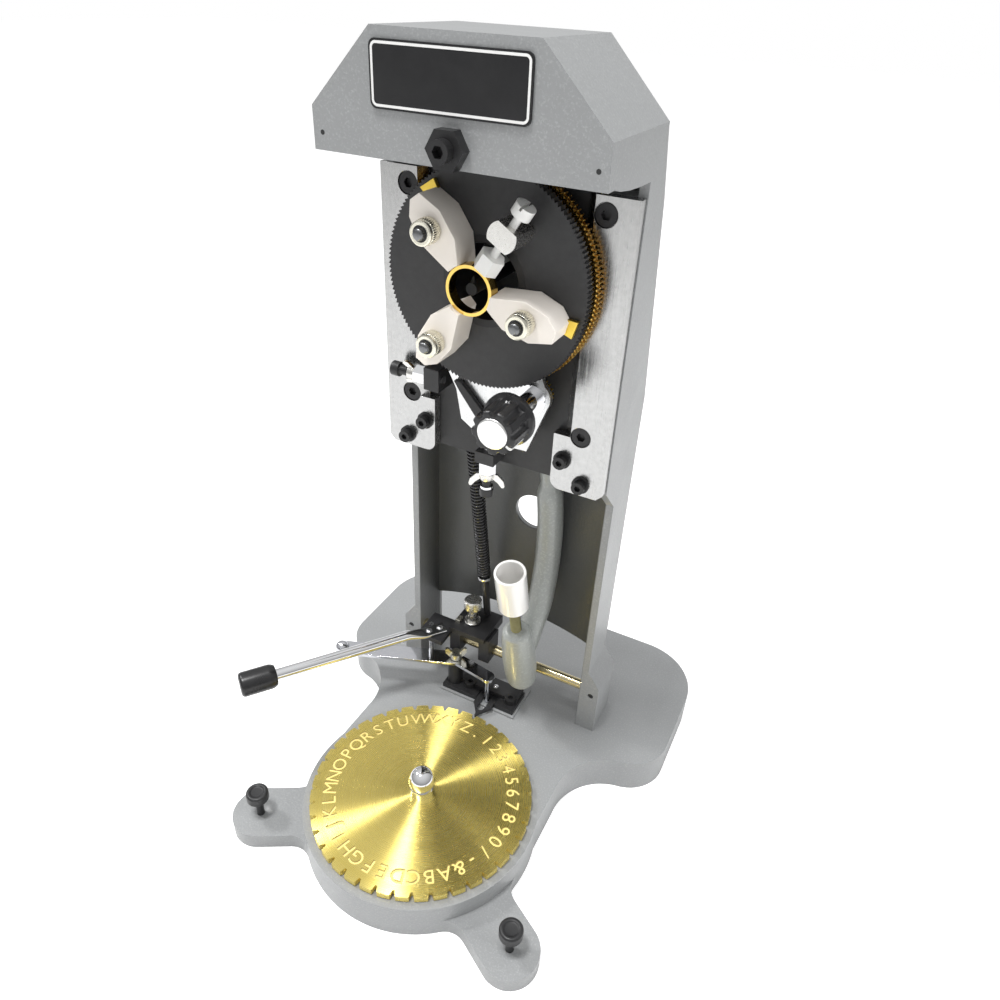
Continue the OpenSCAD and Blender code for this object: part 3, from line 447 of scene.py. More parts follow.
FINISHES = (
    HammeredPaint("hammered_grey", CAST_GREY, CAST_HOLLOW),
    # Column paint with painted shade inside the column, in the box given in millimetres.
    HammeredPaint(
        "hammered_column_painted_shade", CAST_GREY, CAST_HOLLOW, painted_shade_box=(54.9, 76.0, 110.5, 22.4, 339.0)
    ),
    HammeredPaint(
        "cast_arm_grey", (0.30, 0.315, 0.30), (0.46, 0.48, 0.46), 0.34, cells=420.0, depth_mm=0.3
    ),
    Metal(
        "zinc_plate", (0.41, 0.412, 0.41), (0.60, 0.60, 0.595), 0.22, Grain.ROLLED, 0.12, mottle=420.0
    ),
    Metal("yoke_plate", (0.60, 0.61, 0.61), (0.80, 0.80, 0.80), 0.26, Grain.ROLLED, mottle=420.0),
    Metal("chrome", (0.80, 0.81, 0.83), (0.86, 0.86, 0.87), 0.07, spread=0.03, bump_mm=0.004),
    Metal("white_metal", (0.90, 0.90, 0.89), (0.95, 0.95, 0.94), 0.30, spread=0.06),
    Moulded("clamp_white", (0.80, 0.80, 0.78), (0.74, 0.74, 0.72), 0.30, 0.004, coat=0.4),
    Metal("lever_chrome", (0.64, 0.65, 0.69), (0.74, 0.75, 0.78), 0.12, spread=0.04, bump_mm=0.004),
    Metal("satin_steel", (0.55, 0.56, 0.57), (0.70, 0.70, 0.71), 0.28, spread=0.08),
    Metal("satin_nickel", (0.66, 0.65, 0.62), (0.82, 0.81, 0.78), 0.25, spread=0.08),
    Metal("yellow_zinc", (0.66, 0.56, 0.30), (0.80, 0.72, 0.50), 0.22, spread=0.08, mottle=180.0),
    Metal("olive_zinc", (0.30, 0.28, 0.13), (0.48, 0.44, 0.24), 0.34, spread=0.08, mottle=300.0),
    Metal("cream_nickel", (0.74, 0.71, 0.58), (0.86, 0.84, 0.74), 0.27, spread=0.08),
    Metal(
        "dial_brass", (0.90, 0.72, 0.19), (0.95, 0.78, 0.25), 0.26, Grain.TURNED, 0.07, 1.0, bump_mm=0.006
    ),
    Metal("gear_brass", (0.62, 0.36, 0.08), (0.80, 0.54, 0.16), 0.26, mottle=300.0),
    Metal("gold", (0.88, 0.58, 0.13), (0.92, 0.66, 0.20), 0.12, spread=0.04, bump_mm=0.005),
    Metal("strip_brass", (0.82, 0.58, 0.08), (0.86, 0.64, 0.14), 0.32, spread=0.06),
    Metal(
        "black_disc", (0.030, 0.030, 0.031), (0.046, 0.046, 0.047), 0.46, spread=0.08, metallic=0.25
    ),
    Metal(
        "black_steel", (0.020, 0.020, 0.021), (0.034, 0.034, 0.035), 0.36, spread=0.12, metallic=0.4
    ),
    Metal("spring_black", (0.055, 0.055, 0.057), (0.09, 0.09, 0.092), 0.24, spread=0.08, metallic=0.7),
    Metal("grey_steel", (0.16, 0.165, 0.17), (0.26, 0.265, 0.27), 0.34),
    Moulded("black_satin", (0.014, 0.014, 0.015), (0.028, 0.028, 0.029), 0.38, 0.04),
    Moulded("black_plastic", (0.010, 0.010, 0.011), (0.020, 0.020, 0.021), 0.26, 0.02),
    # Near black for painted shade, darker than any paint.
    Moulded("painted_shade_black", (0.004, 0.004, 0.004), (0.006, 0.006, 0.006), 0.70, 0.01),
    Moulded("plate_black", (0.008, 0.008, 0.009), (0.016, 0.016, 0.017), 0.30, 0.01),
    Moulded("cream_jaw", (0.84, 0.79, 0.73), (0.78, 0.72, 0.65), 0.40),
    Moulded("cup_white", (0.84, 0.83, 0.81), (0.80, 0.79, 0.77), 0.16, 0.002, coat=1.0),
    Moulded("line_white", (0.78, 0.78, 0.77), (0.66, 0.66, 0.65), 0.45, 0.01),
    Moulded("engraved_fill", (0.82, 0.66, 0.22), (0.74, 0.57, 0.16), 0.45, 0.01),
    # Dark colour of the characters' painted shadow.
    Moulded("painted_shadow_edge", (0.24, 0.165, 0.03), (0.17, 0.115, 0.02), 0.50, 0.01),
)


# ---------------------------------------------------------------- surfaces


def axes_of(direction: Vec, across: Vec = UP) -> np.ndarray:
    """Right-handed axes whose third runs along a direction.

    Args:
        direction: where the third axis points.
        across: hint for the first axis.
    Returns:
        A 3 by 3 array with the three axes as its rows.
    """
    w = np.asarray(direction, float)
    w = w / np.linalg.norm(w)
    hint = np.asarray(across, float)
    nearly_along = 0.95
    if abs(float(hint @ w)) > nearly_along:
        hint = np.array(RIGHT)
    u = hint - (hint @ w) * w
    u = u / np.linalg.norm(u)
    return np.stack([u, np.cross(w, u), w])


def spokes(angle_deg: float) -> tuple[np.ndarray, np.ndarray]:
    """Outward and crosswise directions at an angle, in the upright plane that faces the front."""
    c, s = math.cos(math.radians(angle_deg)), math.sin(math.radians(angle_deg))
    return np.array([c, 0.0, s]), np.array([-s, 0.0, c])


def circle(count: int) -> np.ndarray:
    """Even angles once round a circle."""
    return np.linspace(0.0, 2.0 * math.pi, count, endpoint=False)


def outward(verts: np.ndarray, faces: list) -> Skin:
    """Turns a closed skin's faces outwards by the sign of its volume.

    Args:
        verts: vertices.
        faces: lists of vertex numbers, all turned the same way.
    Returns:
        The vertices, and the faces as they were or all reversed.
    """
    fans = [(f[0], f[k], f[k + 1]) for f in faces for k in range(1, len(f) - 1)]
    a, b, c = (verts[np.array(fans)[:, n]] for n in range(3))
    volume = float(np.einsum("ij,ij->i", a, np.cross(b, c)).sum())
    return verts, (faces if volume >= 0.0 else [f[::-1] for f in faces])


def shell(points: np.ndarray, looped: bool = False) -> Skin:
    """Closed skin over a stack of rings.

    Args:
        points: rings by points by 3.
        looped: whether the last ring joins the first; otherwise a flat face closes each end.
    Returns:
        Vertices and faces, facing outwards.
    """
    rows, cols = points.shape[:2]
    i = np.arange(rows if looped else rows - 1)[:, None]
    j = np.arange(cols)[None, :]
    i2, j2 = (i + 1) % rows, (j + 1) % cols
    corners = (i * cols + j, i * cols + j2, i2 * cols + j2, i2 * cols + j)
    faces = np.stack(np.broadcast_arrays(*corners), -1).reshape(-1, 4).tolist()
    if not looped:
        faces.append(list(range(cols))[::-1])
        faces.append(list(range((rows - 1) * cols, rows * cols)))
    return outward(points.reshape(-1, 3), faces)


def rings(
    radii: np.ndarray, heights: np.ndarray, origin: Vec, axes: np.ndarray, count: int
) -> np.ndarray:
    """Stack of rings: point = origin + r (cos a u + sin a v) + h w.

    Args:
        radii: r of each ring, one number or one for each angle.
        heights: h of each ring.
        origin: where h is 0.
        axes: u, v and w as rows.
        count: points in each ring.
    Returns:
        Rings by points by 3.
    """
    u, v, w = axes
    a = circle(count)[:, None]
    ring = np.cos(a) * u + np.sin(a) * v
    return np.asarray(origin, float) + radii[..., None] * ring[None] + heights[:, None, None] * w


def turned(profile: np.ndarray, origin: Vec, direction: Vec, segments: int) -> Skin:
    """Surface of revolution.

    Args:
        profile: rows of r and h; the first and last r are small, so flat faces close the ends.
        origin: where h is 0.
        direction: the axis.
        segments: points in each ring.
    Returns:
        Vertices and faces.
    """
    p = np.asarray(profile, float)
    return shell(rings(p[:, :1], p[:, 1], origin, axes_of(direction), segments))


def bored(profile: np.ndarray, origin: Vec, axes: np.ndarray, segments: int) -> Skin:
    """Surface of revolution whose profile, rows of r and h, closes on itself round a bore."""
    p = np.asarray(profile, float)
    return shell(rings(p[:, :1], p[:, 1], origin, axes, segments), looped=True)


def waved(profile: tuple[Vec, ...], wave: np.ndarray, origin: Vec, axes: np.ndarray) -> Skin:
    """Surface of revolution whose radius dips with the angle, for knurls and flutes.

    Args:
        profile: rows of r, h and the share of the dip there.
        wave: the dip at even angles.
        origin: where h is 0.
        axes: three axes as rows; the third is the axis of revolution.
    Returns:
        Vertices and faces.
    """
    p = np.asarray(profile, float)
    return shell(rings(p[:, :1] - p[:, 2:] * wave, p[:, 1], origin, axes, len(wave)))


def knurl(ribs: int, depth: float, points: int) -> np.ndarray:
    """Dip of a fine knurl at even angles: a cosine wave of so many ribs."""
    return depth * (0.5 + 0.5 * np.cos(ribs * circle(points)))


def rounded(profile: Profile, radius: float, steps: int = 4) -> np.ndarray:
    """Profile with its inner corners eased: each becomes a short curve between points near it.

    Args:
        profile: corners as r and h.
        radius: how far from a corner the curve starts, at most 0.45 of either side.
        steps: points on each curve.
    Returns:
        Rows of r and h.
    """
    p = np.asarray(profile, float)
    t = np.linspace(0.0, 1.0, steps + 1)[:, None]
    out = [p[:1]]
    for before, at, after in zip(p[:-2], p[1:-1], p[2:]):
        da, db = before - at, after - at
        la, lb = np.linalg.norm(da), np.linalg.norm(db)
        cut = min(radius, 0.45 * la, 0.45 * lb)
        start, end = at + da / la * cut, at + db / lb * cut
        out.append((1 - t) ** 2 * start + 2 * t * (1 - t) * at + t**2 * end)
    out.append(p[-1:])
    return np.concatenate(out)


def prism(outline: np.ndarray, depth: float, ease: float, origin: Vec, axes: np.ndarray) -> Skin:
    """Flat plate with eased rims: the outline, drawn in towards its middle at the two faces.

    Args:
        outline: corners in the first two axes, going round once.
        depth: thickness along the third axis.
        ease: width of the eased rim.
        origin: where the outline's zero lies.
        axes: three axes as rows.
    Returns:
        Vertices and faces.
    """
    mid = outline.mean(0)
    reach = np.linalg.norm(outline - mid, axis=1).max()
    small = mid + (outline - mid) * (1.0 - ease / reach)
    layers = [(small, 0.0), (outline, ease), (outline, depth - ease), (small, depth)]
    pts = np.stack([np.c_[flat, np.full(len(flat), h)] for flat, h in layers]) @ axes
    return shell(pts + np.asarray(origin, float))


def tube(
    path: np.ndarray, normal: np.ndarray, binormal: np.ndarray, radius: np.ndarray | float, sides: int
) -> Skin:
    """Round bar along a path: point = path + r (cos a n + sin a b).

    Args:
        path: points of the middle line.
        normal: a unit vector across the path at each point.
        binormal: the other unit vector across it.
        radius: one number, or one for each point.
        sides: points round the bar.
    Returns:
        Vertices and faces.
    """
    a = circle(sides)[None, :, None]
    around = np.cos(a) * normal[:, None] + np.sin(a) * binormal[:, None]
    return shell(path[:, None] + np.reshape(radius, (-1, 1, 1)) * around)


def joined(skins: list[Skin]) -> Skin:
    """Puts several closed skins in one mesh, with the numbers in their faces moved on."""
    starts = np.cumsum([0] + [len(v) for v, _ in skins[:-1]])
    faces = [
        [int(k + start) for k in face] for start, (_, part) in zip(starts, skins) for face in part
    ]
    return np.concatenate([v for v, _ in skins]), faces


# ---------------------------------------------------------------- workshop


class Workshop:
    """Holds the frame and the finishes, and puts finished pieces on their bodies."""

    weld_m = 3e-6
    flat_deg = 0.4
    edge_deg = 40.0
    old_shading = ("custom_normal", "sharp_edge", "sharp_face")

    def __init__(self, frame: dict) -> None:
        """Builds all finishes.
        """
        self.nodes: dict[str, bpy.types.Object] = frame["nodes"]
        record = frame["record"]
        bodies = record["behaviour"]["bodies"]
        self.body_of: dict[str, str] = {n: body for body, members in bodies.items() for n in members}
        self.slot_of: dict[str, str] = {s["node"]: s["material_slot"] for s in record["subparts"]}
        effects = Effects()
        self.finishes: dict[str, Material] = {f.name: f.material(effects) for f in FINISHES}

    def dress(self, finish: str, *nodes: str) -> None:
        """Gives solids of the frame a finish.

        Args:
            finish: name of the finish.
            *nodes: the solids.
        """
        for name in nodes:
            mesh = self.nodes[name].data
            mesh.materials.clear()
            mesh.materials.append(self.finishes[finish])
            LOG.info("%s: %s", name, finish)

    def piece(
        self,
        name: str,
        skin: Skin,
        finish: str,
        body: str,
        replaces: tuple[str, ...] = (),
        smooth_deg: float = 40.0,
    ) -> None:
        """Makes a new piece from vertices in millimetres and puts it on a body.

        Args:
            name: the piece's name.
            skin: vertices and faces.
            finish: name of its finish.
            body: the body that carries it.
            replaces: solids that it stands for.
            smooth_deg: edges sharper than this stay sharp.
        """
        mesh = bpy.data.meshes.new(name)
        mesh.from_pydata((skin[0] * MM).tolist(), [], skin[1])
        self.place(name, mesh, finish, body, replaces, smooth_deg)

    def place(
        self,
        name: str,
        mesh: bpy.types.Mesh,
        finish: str,
        body: str,
        replaces: tuple[str, ...],
        smooth_deg: float,
    ) -> bpy.types.Object:
        """Shades a mesh, names it and puts it on its body; the arguments are those of piece."""
        mesh.validate()
        mesh.shade_smooth()
        mesh.set_sharp_from_angle(angle=math.radians(smooth_deg))
        mesh.materials.append(self.finishes[finish])
        thing = bpy.data.objects.new(name, mesh)
        bpy.context.scene.collection.objects.link(thing)
        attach(thing, body)
        if replaces:
            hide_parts(*replaces)
        LOG.info("%s on %s: %s, %d faces", name, body, finish, len(mesh.polygons))
        return thing

    def eased(self, node: str, finish: str, width: float, steps: int = 2) -> None:
        """Replaces a solid by a copy whose edges are rounded by a Bevel modifier.

        Args:
            node: the solid.
            finish: name of its finish.
            width: the rounding's width.
            steps: segments of the rounding.
        """
        mesh = self.nodes[node].data.copy()
        work = bmesh.new()
        work.from_mesh(mesh)
        bmesh.ops.remove_doubles(work, verts=work.verts, dist=self.weld_m)
        flat = math.radians(self.flat_deg)
        bmesh.ops.dissolve_limit(work, angle_limit=flat, verts=work.verts, edges=work.edges)
        work.to_mesh(mesh)
        work.free()
        mesh.materials.clear()
        for extra in [a.name for a in mesh.attributes if a.name in self.old_shading]:
            mesh.attributes.remove(mesh.attributes[extra])
        body, slot = self.body_of[node], self.slot_of[node]
        thing = self.place(node + "_eased", mesh, finish, body, (node,), 180.0)
        bevel = thing.modifiers.new("eased_edges", "BEVEL")
        bevel.width = width * MM
        bevel.segments = steps
        bevel.limit_method = "ANGLE"
        bevel.angle_limit = math.radians(self.edge_deg)
        bevel.use_clamp_overlap = True
        weighted = thing.modifiers.new("flat_faces", "WEIGHTED_NORMAL")
        weighted.weight = 100
        weighted.keep_sharp = False


# ---------------------------------------------------------------- sub-assemblies


@dataclass
class Castings:
    """Base, column and hood, with the bare plate on the hood."""

    edge: float = 1.6
    base_edge: float = 2.4
    plate_mid: Vec = (-1.0, 25.2, 367.5)
    border: Pair = (30.3, 10.0)
    border_corner: float = 2.2
    border_line: float = 0.85
    border_lift: float = 0.08
    pin: Profile = ((TIP, 0.0), (0.9, 0.0), (0.9, 1.0), (TIP, 1.0))
    pin_front: float = 25.97
    pin_holes: Profile = ((-54.5, 346.5), (54.5, 346.5))

    def build(self, shop: Workshop) -> None:
        """Dresses the castings and adds the plate's border line and the hood's pins."""
        shop.eased("base_casting", "hammered_grey", self.base_edge, 3)
        # The column's paint carries painted shade inside it.
        shop.eased("column_casting", "hammered_column_painted_shade", self.edge, 3)
        shop.dress("plate_black", "nameplate")
        shop.dress("black_steel", "hood_screw", "hood_lock_nut", "column_bolts", "shaft_set_screws")
        shop.piece("nameplate_border", self._border(), "line_white", "stand")
        for n, (x, z) in enumerate(self.pin_holes):
            skin = turned(self.pin, (x, self.pin_front, z), BACK, 24)
            shop.piece(f"hood_pin_{n + 1}", skin, "black_satin", "stand")

    def _border(self) -> Skin:
        """Thin raised line round the plate: a rounded rectangle's path with a flat section."""
        a = circle(96)
        flat = np.stack([np.cos(a), np.sin(a)], -1)
        mid = np.sign(flat) * (np.array(self.border) - self.border_corner)
        x, y, z = self.plate_mid
        line, lift = self.border_line, self.border_lift
        rows = []
        for inset, rise in ((0.0, 0.0), (0.0, lift), (line, lift), (line, 0.0)):
            p = mid + (self.border_corner - inset) * flat
            rows.append(np.c_[x + p[:, 0], np.full(len(a), y - rise), z + p[:, 1]])
        return shell(np.stack(rows), looped=True)


@dataclass
class FacePlates:
    """Two bright plates with their screws, and the carriage behind them."""

    edge: float = 0.5
    black_ends: tuple[tuple[str, Vec, Vec], ...] = (
        ("side_screw_head", (-50.2, 60.1, 240.95), RIGHT),
        ("low_screw_head", (0.0, 63.6, 183.8), UP),
    )
    head: Profile = ((2.13, 9.0), (2.3, 9.0), (2.3, 4.4), (3.5, 4.4), (3.5, 0.0), (TIP, 0.0))
    cap: Profile = ((TIP, -0.25), (2.2, -0.25), (2.2, 0.3), (TIP, 0.3))
    wing_at: Vec = (0.0, 63.6, 196.8)
    wing_turn: float = 20.0
    wing_thick: float = 1.7
    hub: Profile = ((2.25, 0.0), (3.6, 0.0), (3.9, 0.3), (3.8, 2.6), (3.2, 3.8), (2.25, 3.8))
    wing: Profile = (
        (2.9, 0.4), (5.2, 0.8), (8.4, 4.4), (9.0, 7.0), (8.6, 8.0), (7.6, 8.2), (5.6, 5.6), (3.1, 3.5),
    )

    def build(self, shop: Workshop) -> None:
        """Dresses plates, screws and carriage."""
        for name in ("face_plate_left", "face_plate_right"):
            shop.eased(name, "zinc_plate", self.edge)
        shop.dress("black_steel", "plate_cap_screws", "gib_screws")
        shop.dress("black_disc", "carriage_plate")
        shop.dress("gear_brass", "spindle_bush")
        shop.eased("stop_block", "black_satin", 0.5)
        shop.dress("chrome", "side_screw", "low_screw")
        shop.eased("side_wing_nut", "satin_nickel", 0.3)
        shop.piece(
            "flared_wing_nut", self._wing_nut(), "satin_nickel", "low_wing",
            ("low_wing_nut",), 35.0,
        )
        for name, spot, way in self.black_ends:
            skin = turned(rounded(self.head, 0.5), spot, way, 40)
            shop.piece(name, skin, "black_satin", "carriage")
        _, spot, way = self.black_ends[1]
        skin = turned(rounded(self.cap, 0.15), spot, way, 40)
        shop.piece("low_screw_cap", skin, "satin_steel", "carriage")

    def _wing_nut(self) -> Skin:
        """Wing nut of three closed skins: a bored hub and two flared flat wings."""
        turn = math.radians(self.wing_turn)
        u, v, w = axes = axes_of((0.0, 0.0, -1.0), (math.cos(turn), math.sin(turn), 0.0))
        skins = [bored(self.hub, self.wing_at, axes, 48)]
        spot = tuple(np.asarray(self.wing_at) - self.wing_thick / 2 * v)
        for side in (1.0, -1.0):
            outline = np.array(self.wing) * np.array([side, 1.0])
            skins.append(prism(outline, self.wing_thick, 0.25, spot, np.stack([u, w, v])))
        return joined(skins)


@dataclass
class Link:
    """Leaning link rod with its coil spring."""

    foot: Vec = (-15.5, 103.0, 66.3)
    lean_deg: float = 10.5
    coil_r: float = 3.3
    wire: float = 1.3
    span: Pair = (38.4, 135.245)
    curls: int = 43
    curl_points: int = 22
    washer: Profile = ((2.25, -1.75), (4.35, -1.75), (4.35, 0.12), (2.25, 0.12))
    washer_at: float = 37.5

    def build(self, shop: Workshop) -> None:
        """Replaces the spring by a smooth coil and adds the bright washer at its foot."""
        shop.dress("black_satin", "link_rod")
        shop.piece(
            "spring_coil", self._coil(), "spring_black", "carriage", ("link_spring",), 80.0
        )
        washer = rounded(self.washer, 0.25) + np.array([0.0, self.washer_at])
        skin = bored(washer, self.foot, self._axes(), 48)
        shop.piece("spring_washer", skin, "chrome", "carriage")

    def _axes(self) -> np.ndarray:
        """Axes of the leaning rod; the third runs up it."""
        lean = math.radians(self.lean_deg)
        return axes_of((0.0, -math.sin(lean), math.cos(lean)), RIGHT)

    def _coil(self) -> Skin:
        """Helix of the wire: radius coil_r, rising evenly, swept by a round section."""
        u, v, w = self._axes()
        t = np.linspace(0.0, 2.0 * math.pi * self.curls, self.curls * self.curl_points)
        out = np.cos(t)[:, None] * u + np.sin(t)[:, None] * v
        rise = np.linspace(*self.span, len(t))
        path = np.asarray(self.foot) + self.coil_r * out + rise[:, None] * w
        return tube(path, out, np.broadcast_to(w, out.shape), self.wire / 2, 8)


@dataclass
class Chuck:
    """Ratchet disc, two-row gear, jaws, nuts, clamp and the sample ring."""

    height: float = 293.0
    jaw_angles: Vec = (126.0, 239.0, 346.0)
    strip_jaws: tuple[int, ...] = (0, 2)
    strip: Profile = ((38.6, -3.6), (43.6, -4.2), (43.9, 3.4), (39.0, 2.6))
    strip_front: float = 51.1
    stud_u: float = 27.0
    stud_front: float = 29.0
    dome: Profile = ((TIP, -0.85), (1.3, -0.8), (2.35, -0.2), (2.35, 1.2), (TIP, 1.2))
    gap: Profile = ((2.3, 1.62), (3.3, 1.62), (3.3, 1.9), (2.3, 1.9))
    nut: tuple[Vec, ...] = (
        (TIP, 0.9, 0), (2.2, 0.9, 0), (2.2, 1.65, 0), (4.3, 1.6, 0), (4.8, 1.9, 0), (4.9, 2.3, 0),
        (4.9, 3.2, 0), (4.55, 3.35, 0), (4.55, 3.6, 0), (5.0, 3.8, 1), (5.15, 4.1, 1), (5.15, 8.3, 1),
        (5.0, 8.7, 1), (4.7, 9.0, 0), (2.2, 9.0, 0), (2.2, 27.4, 0), (3.7, 27.4, 0), (3.7, 28.9, 0),
        (TIP, 28.9, 0),
    )
    gear_y: Pair = (62.0, 65.6)
    gear_r: float = 46.8
    teeth: int = 144
    tooth_points: int = 10
    module: float = 0.65
    gear_bore: float = 19.02
    gear_bevel: float = 0.35
    knob_angle: float = -63.9

    def build(self, shop: Workshop) -> None:
        """Dresses the chuck and adds the gear, the jaws' brass strips and the stud ends."""
        shop.dress("black_disc", "ratchet_disc")
        shop.dress("black_steel", "chuck_spindle", "spindle_nut")
        shop.dress("gold", "sample_ring")
        shop.dress("satin_nickel", "clamp_post")
        shop.eased("clamp_screw", "clamp_white", 0.3)
        shop.piece(
            "two_row_gear", self._gear(), "gear_brass", "chuck", ("chuck_gear",), 25.0
        )
        ribs = knurl(36, 0.28, 288)
        for n, (letter, angle) in enumerate(zip("abc", self.jaw_angles)):
            shop.eased(f"jaw_{n + 1}", "cream_jaw", 0.7, 3)
            u, w = spokes(angle)
            spot = np.array([0.0, self.stud_front, self.height]) + self.stud_u * u
            nut = f"nut_{letter}"
            shop.piece(
                f"knurled_{nut}", waved(self.nut, ribs, spot, FACING), "cream_nickel", nut,
                (f"jaw_nut_{n + 1}",), 30.0,
            )
            skin = turned(rounded(self.dome, 0.6), spot, BACK, 40)
            shop.piece(f"stud_end_{letter}", skin, "grey_steel", nut)
            skin = turned(rounded(self.gap, 0.05, 1), spot, BACK, 40)
            shop.piece(f"stud_gap_{letter}", skin, "black_steel", nut)
            if n in self.strip_jaws:
                spot = (0.0, self.strip_front, self.height)
                skin = prism(np.array(self.strip), 2.3, 0.15, spot, np.stack([u, w, BACK]))
                shop.piece(f"jaw_strip_{letter}", skin, "strip_brass", f"jaw_{letter}")

    def _gear(self) -> Skin:
        """Gear of two toothed rows in line, parted by a groove.

        The radius follows a trapezoid wave of the angle: tips 0.2 of a pitch wide, flanks, then
        the root.
        """
        a = circle(self.teeth * self.tooth_points)
        start = math.radians(self.knob_angle + 180.0 / self.teeth)
        phase = np.abs(((a - start) * self.teeth / (2.0 * math.pi) + 0.5) % 1.0 - 0.5)
        lift = np.clip((0.29 - phase) / 0.19, 0.0, 1.0)
        root = self.gear_r - 1.25 * self.module
        tooth = root + lift * 2.05 * self.module
        y0, y1 = self.gear_y
        mid, bevel, bore, groove = (y0 + y1) / 2.0, self.gear_bevel, self.gear_bore, root - 0.4
        rows = (
            (bore, y0), (tooth - bevel, y0), (tooth, y0 + bevel), (tooth, mid - 0.25),
            (groove, mid - 0.2), (groove, mid + 0.2), (tooth, mid + 0.25), (tooth, y1 - bevel),
            (tooth - bevel, y1), (bore, y1),
        )
        radii = np.stack([np.broadcast_to(r, a.shape) for r, _ in rows])
        depths = np.array([y for _, y in rows])
        return shell(rings(radii, depths, (0.0, 0.0, self.height), FACING, len(a)), looped=True)


@dataclass
class KnobDrive:
    """Swing yoke, pawl and the fluted knob with its pinion."""

    front_mid: Vec = (23.515, 20.0, 245.0)
    skirt: float = 11.6
    skirt_len: float = 3.4
    length: float = 16.5
    flutes: int = 9
    flute_turn: float = 10.0
    flute_depth: float = 1.5
    flute_half: float = 0.27
    cap: Profile = ((TIP, -0.6), (6.2, -0.6), (6.8, -0.2), (6.8, 1.15), (TIP, 1.15))
    pointer_deg: float = -30.0
    pointer_half: float = 0.55
    pointer: Profile = (
        (7.4, -0.04), (8.8, -0.04), (9.5, 0.2), (9.92, 0.75), (10.05, 2.0), (10.14, 11.0),
    )

    def build(self, shop: Workshop) -> None:
        """Dresses the yoke and replaces the knob and its cap by worked surfaces."""
        shop.eased("swing_yoke", "yoke_plate", 0.3)
        shop.dress("chrome", "knob_sleeve", "knob_shaft")
        shop.dress("black_steel", "pawl")
        shop.dress("strip_brass", "pinion")
        shop.piece(
            "fluted_knob", self._knob(), "black_plastic", "knob", ("control_knob",), 32.0
        )
        skin = turned(rounded(self.cap, 0.25), self.front_mid, BACK, 72)
        shop.piece("turned_cap", skin, "white_metal", "knob", ("knob_cap",))
        shop.piece("knob_pointer", self._pointer(), "line_white", "knob")

    def _knob(self) -> Skin:
        """Fluted knob: radius dips in round flutes along the grip and swells into a plain skirt."""
        a = circle(216) - math.radians(self.flute_turn)
        dip = np.abs((a * self.flutes / (2.0 * math.pi) + 0.5) % 1.0 - 0.5)
        scoop = self.flute_depth * np.sqrt(np.clip(1.0 - (dip / self.flute_half) ** 2, 0.0, 1.0))
        skirt, far = self.skirt, self.length
        grip = far - self.skirt_len
        profile = (
            (6.85, 1.2, 0.0), (6.85, 0.0, 0.0), (8.8, 0.0, 0.55), (9.4, 0.15, 0.8), (9.85, 0.7, 1.0),
            (10.0, 2.0, 1.0), (10.1, grip - 1.0, 1.0), (10.3, grip - 0.2, 0.7), (10.8, grip + 0.2, 0.0),
            (skirt - 0.2, grip + 0.5, 0.0), (skirt, grip + 1.0, 0.0), (skirt, far - 0.4, 0.0),
            (skirt - 0.4, far, 0.0), (2.55, far, 0.0), (2.55, 5.0, 0.0),
        )
        return waved(profile, scoop, self.front_mid, FACING)

    def _pointer(self) -> Skin:
        """White line along the grip: a thin strip that follows the knob's front and side."""
        out, side = spokes(self.pointer_deg)
        line = np.array(self.pointer)
        mid = np.array(self.front_mid) + line[:, :1] * out + line[:, 1:] * np.array(BACK)
        deep = mid - 0.25 * out + np.array([0.0, 0.12, 0.0])
        half = self.pointer_half * side
        return shell(np.stack([mid - half, mid + half, deep + half, deep - half], 1))


